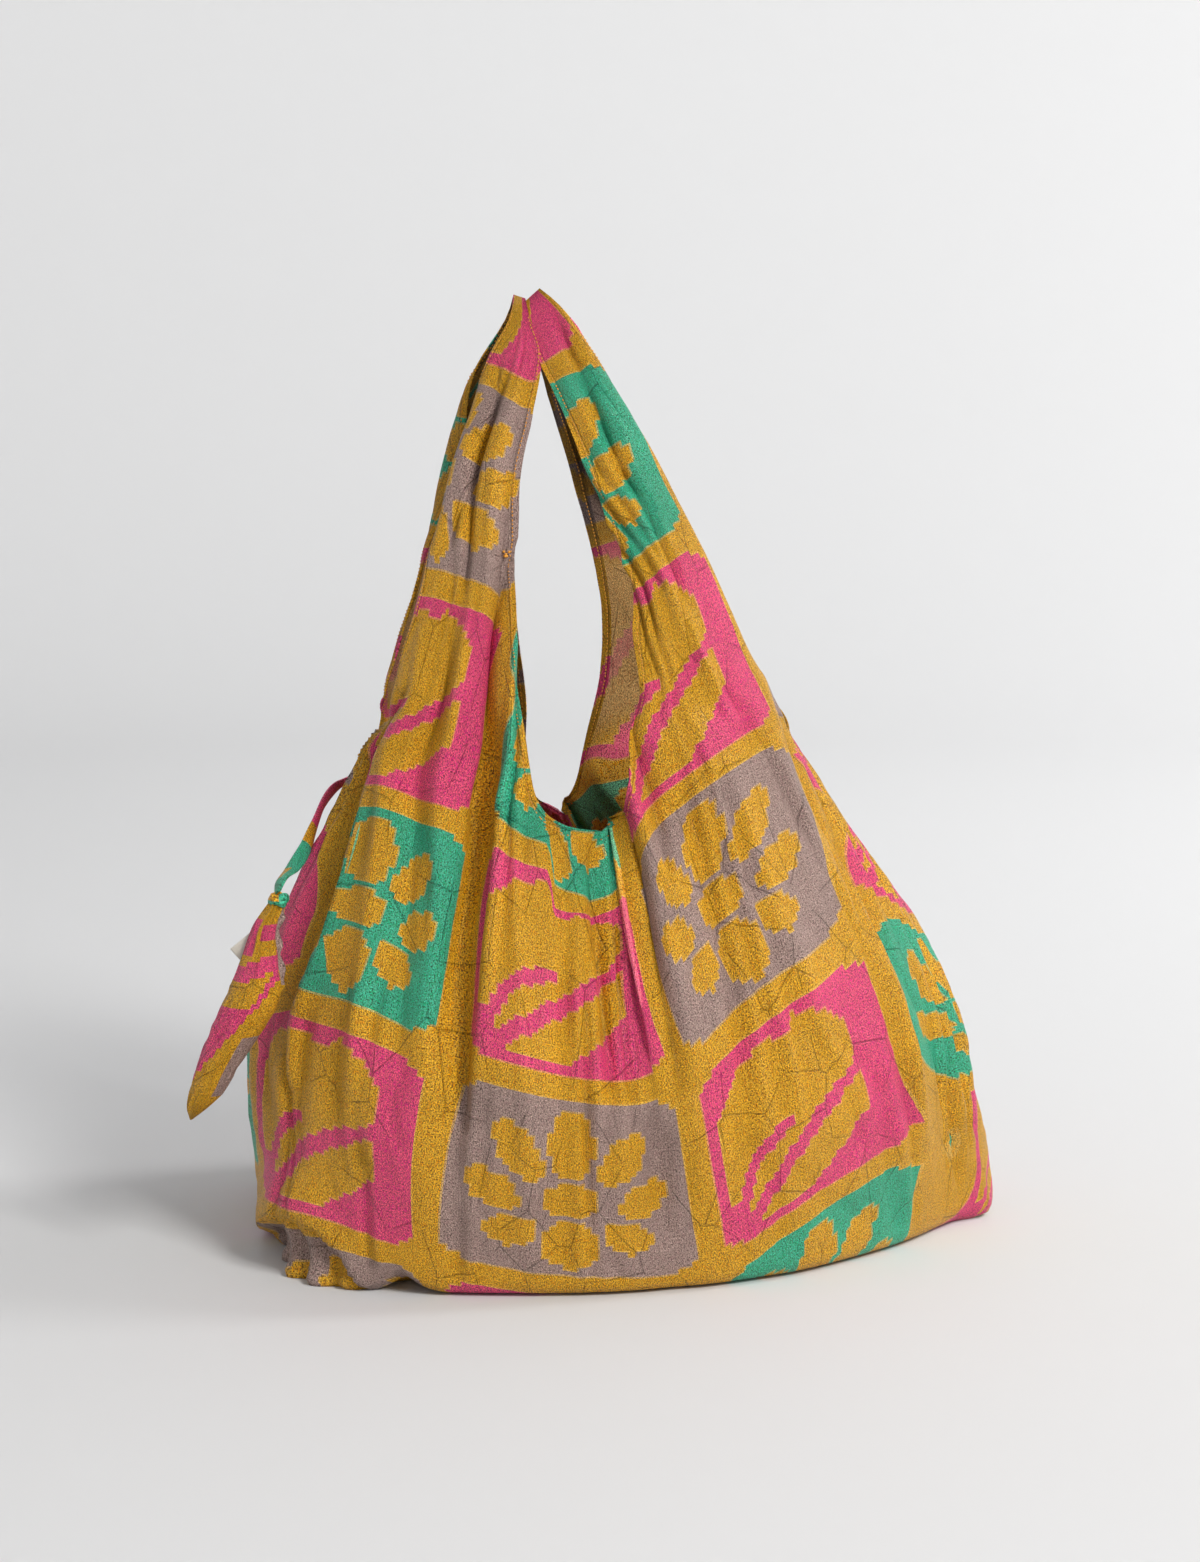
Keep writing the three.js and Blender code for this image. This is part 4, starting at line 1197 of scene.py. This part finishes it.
pouch_x = pouch_row.x + (pouch_row.wide + wrinkled) * pinched(np.cos(turn)) + ruffle
pouch_y = pouch_row.y + (pouch_row.deep + wrinkled) * pinched(np.sin(turn))
move_to(pouch_bm.verts, np.stack((pouch_x, pouch_y, height), -1) + CENTRE)
weld(pouch_bm)

pouch_silk, shade = new_material("pouch_silk")
u, v = on_cloth(shade, "cloth")
side = (u * (2 * math.pi / POUCH.round)).cosine()
wide = ((side / POUCH_MESH.column).floor() + 0.5) * POUCH_MESH.column
far = ((v / POUCH_MESH.row).floor() + 0.5) * (POUCH_MESH.row / pouch_tall)
printed = MUSTARD
for colour, low, low_climb, high, high_climb, left, right in PATCHES:
    patch = (far > low + low_climb * wide) & (far < high + high_climb * wide) & (wide > left) & (wide < right)
    printed = patch.mix(printed, colour)
seam = (side > SEAM_SIDE) & (far > RUFFLE.start)
finish_silk(shade, seam.mix(printed, TAUPE), u, v)
pouch = new_piece("carry_pouch", pouch_bm, pouch_silk)
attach(pouch, "root")
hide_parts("pouch")

# Tie
# A flat strip of the silk, sewn in at the top of the left side seam, that runs round the bag's corner, twists on
# its way down and is knotted round the neck of the pouch.
TIE = Named(width=11, thickness=1.2, steps=110, columns=8, length=148, cup=1.6)
TIE_FACES = (-0.9, -0.35, 0.25)
tie_at = curves("at x y z wide twist", [
    (0, -157, 19.5, 299, 1, 0),
    (0.12, -164.5, 11, 300, 1, 0),
    (0.24, -175, 0, 295, 1, 10),
    (0.4, -182, -20, 287, 1, 20),
    (0.54, -187, -37, 273, 1, 35),
    (0.66, -191, -52, 262, 0.8, 70),
    (0.8, -197, -70, 252, 0.85, 120),
    (0.92, -202.5, -84, 247, 0.95, 150),
    (1, -204, -96.2, 240.6, 0.6, 170),
])
TIE_PRINT = Named(row=3.75, mustard_from=0.54, green_from=0.64, spot=0.85, spot_half=0.05, spot_wide=6)
tie_bm = bmesh.new()
_, across, along = add_grid(tie_bm, TIE.columns, TIE.steps)
write_map(tie_bm, "cloth", across * TIE.width, along * TIE.length)
tie_row = tie_at(along)
step = 0.005
ahead, behind = tie_at(along + step), tie_at(along - step)
forward = unit(np.stack((ahead.x - behind.x, ahead.y - behind.y, ahead.z - behind.z), -1))
flat_side = unit(np.cross(forward, np.array(TIE_FACES)))
edge_side = unit(np.cross(forward, flat_side))
twist = np.radians(tie_row.twist)[:, None]
sideways = flat_side * np.cos(twist) + edge_side * np.sin(twist)
cup = TIE.cup * (1 - (2 * across - 1) ** 2) * tie_row.wide
offset = sideways * ((across - 0.5) * TIE.width * tie_row.wide)[:, None]
offset = offset + np.cross(forward, sideways) * cup[:, None]
move_to(tie_bm.verts, np.stack((tie_row.x, tie_row.y, tie_row.z), -1) + offset + CENTRE)

tie_silk, shade = new_material("tie_silk")
u, v = on_cloth(shade, "cloth")
far = ((v / TIE_PRINT.row).floor() + 0.5) * (TIE_PRINT.row / TIE.length)
spot = (abs(far - TIE_PRINT.spot) < TIE_PRINT.spot_half) & (u < TIE_PRINT.spot_wide)
printed = (far > TIE_PRINT.mustard_from).mix(PINK, MUSTARD)
printed = ((far > TIE_PRINT.green_from) & (1 - spot)).mix(printed, GREEN)
finish_silk(shade, printed, u, v)
tie = new_piece("tie_strip", tie_bm, tie_silk)
thicken(tie, TIE.thickness)
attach(tie, "root")
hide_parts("tie")

# The knot: the strip's end, gathered up and wound round the pouch's neck
KNOT = Named(place=(-203.4, -98.5, 237.2), ring=4, thick=2.6, wraps=3, uneven=0.22, tall=1.5, steps=72)
KNOT_CLOTH = Named(width=10, start=118, length=22)
knot_bm = bmesh.new()
_, around, round_strip = add_grid(knot_bm, KNOT.steps, KNOT.steps // 3)
turn, strip_turn = 2 * math.pi * around, 2 * math.pi * round_strip
thick = KNOT.thick * (1 + KNOT.uneven * np.sin(KNOT.wraps * turn + 2 * strip_turn))
ring = KNOT.ring + thick * np.cos(strip_turn)
knot_flat = np.stack((ring * np.cos(turn), ring * np.sin(turn), thick * np.sin(strip_turn) * KNOT.tall), -1)
write_map(knot_bm, "cloth", KNOT_CLOTH.width * round_strip, KNOT_CLOTH.start + KNOT_CLOTH.length * around)
move_to(knot_bm.verts, knot_flat + np.array(KNOT.place) + CENTRE)
weld(knot_bm)
knot = new_piece("tie_knot", knot_bm, tie_silk)
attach(knot, "root")

# Label
# A plain cream cotton tab that stands out from behind the pouch's left edge, woven in fine threads.
LABEL = Named(length=22, width=11, thickness=0.8, turn=-40, place=(-222.3, -99.2, 208.6), curl=1.2, grid=(24, 12))
COTTON = Named(dark=(0.70, 0.65, 0.55), pale=(0.84, 0.80, 0.71), threads=9, contrast=0.35, relief=0.2, soil=0.3)
cotton, shade = new_material("label_cotton")
u, v = on_cloth(shade, "cloth")
weave = (u * COTTON.threads).sine() * (v * COTTON.threads).sine()
where = shade.node("CombineXYZ", None, {"X": u * COTTON.soil, "Y": v * COTTON.soil})
soiled = shade.node("TexNoise", {"noise_dimensions": "2D"}, {"Vector": where, "Scale": 1, "Detail": 3})
colour = (0.5 + COTTON.contrast * weave + (soiled - 0.5)).mix(COTTON.dark, COTTON.pale)
bump = shade.node("Bump", None, {"Strength": 0.6, "Distance": COTTON.relief * MM, "Height": weave})
finish_material(shade, Base_Color=colour, Roughness=0.8, Normal=bump, Specular_IOR_Level=0.3)
label_bm = bmesh.new()
_, across, along = add_grid(label_bm, *LABEL.grid)
write_map(label_bm, "cloth", across * LABEL.length, along * LABEL.width)
curl = LABEL.curl * np.sin(math.pi * across)
label_flat = np.stack(((across - 0.5) * LABEL.length, -curl, (along - 0.5) * LABEL.width), -1)
turn = Matrix.Rotation(math.radians(LABEL.turn), 3, "Y")
move_to(label_bm.verts, [turn @ Vector(place) + Vector(LABEL.place) + Vector(CENTRE) for place in label_flat])
label = new_piece("label_tab", label_bm, cotton)
thicken(label, LABEL.thickness)
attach(label, "root")
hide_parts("label")
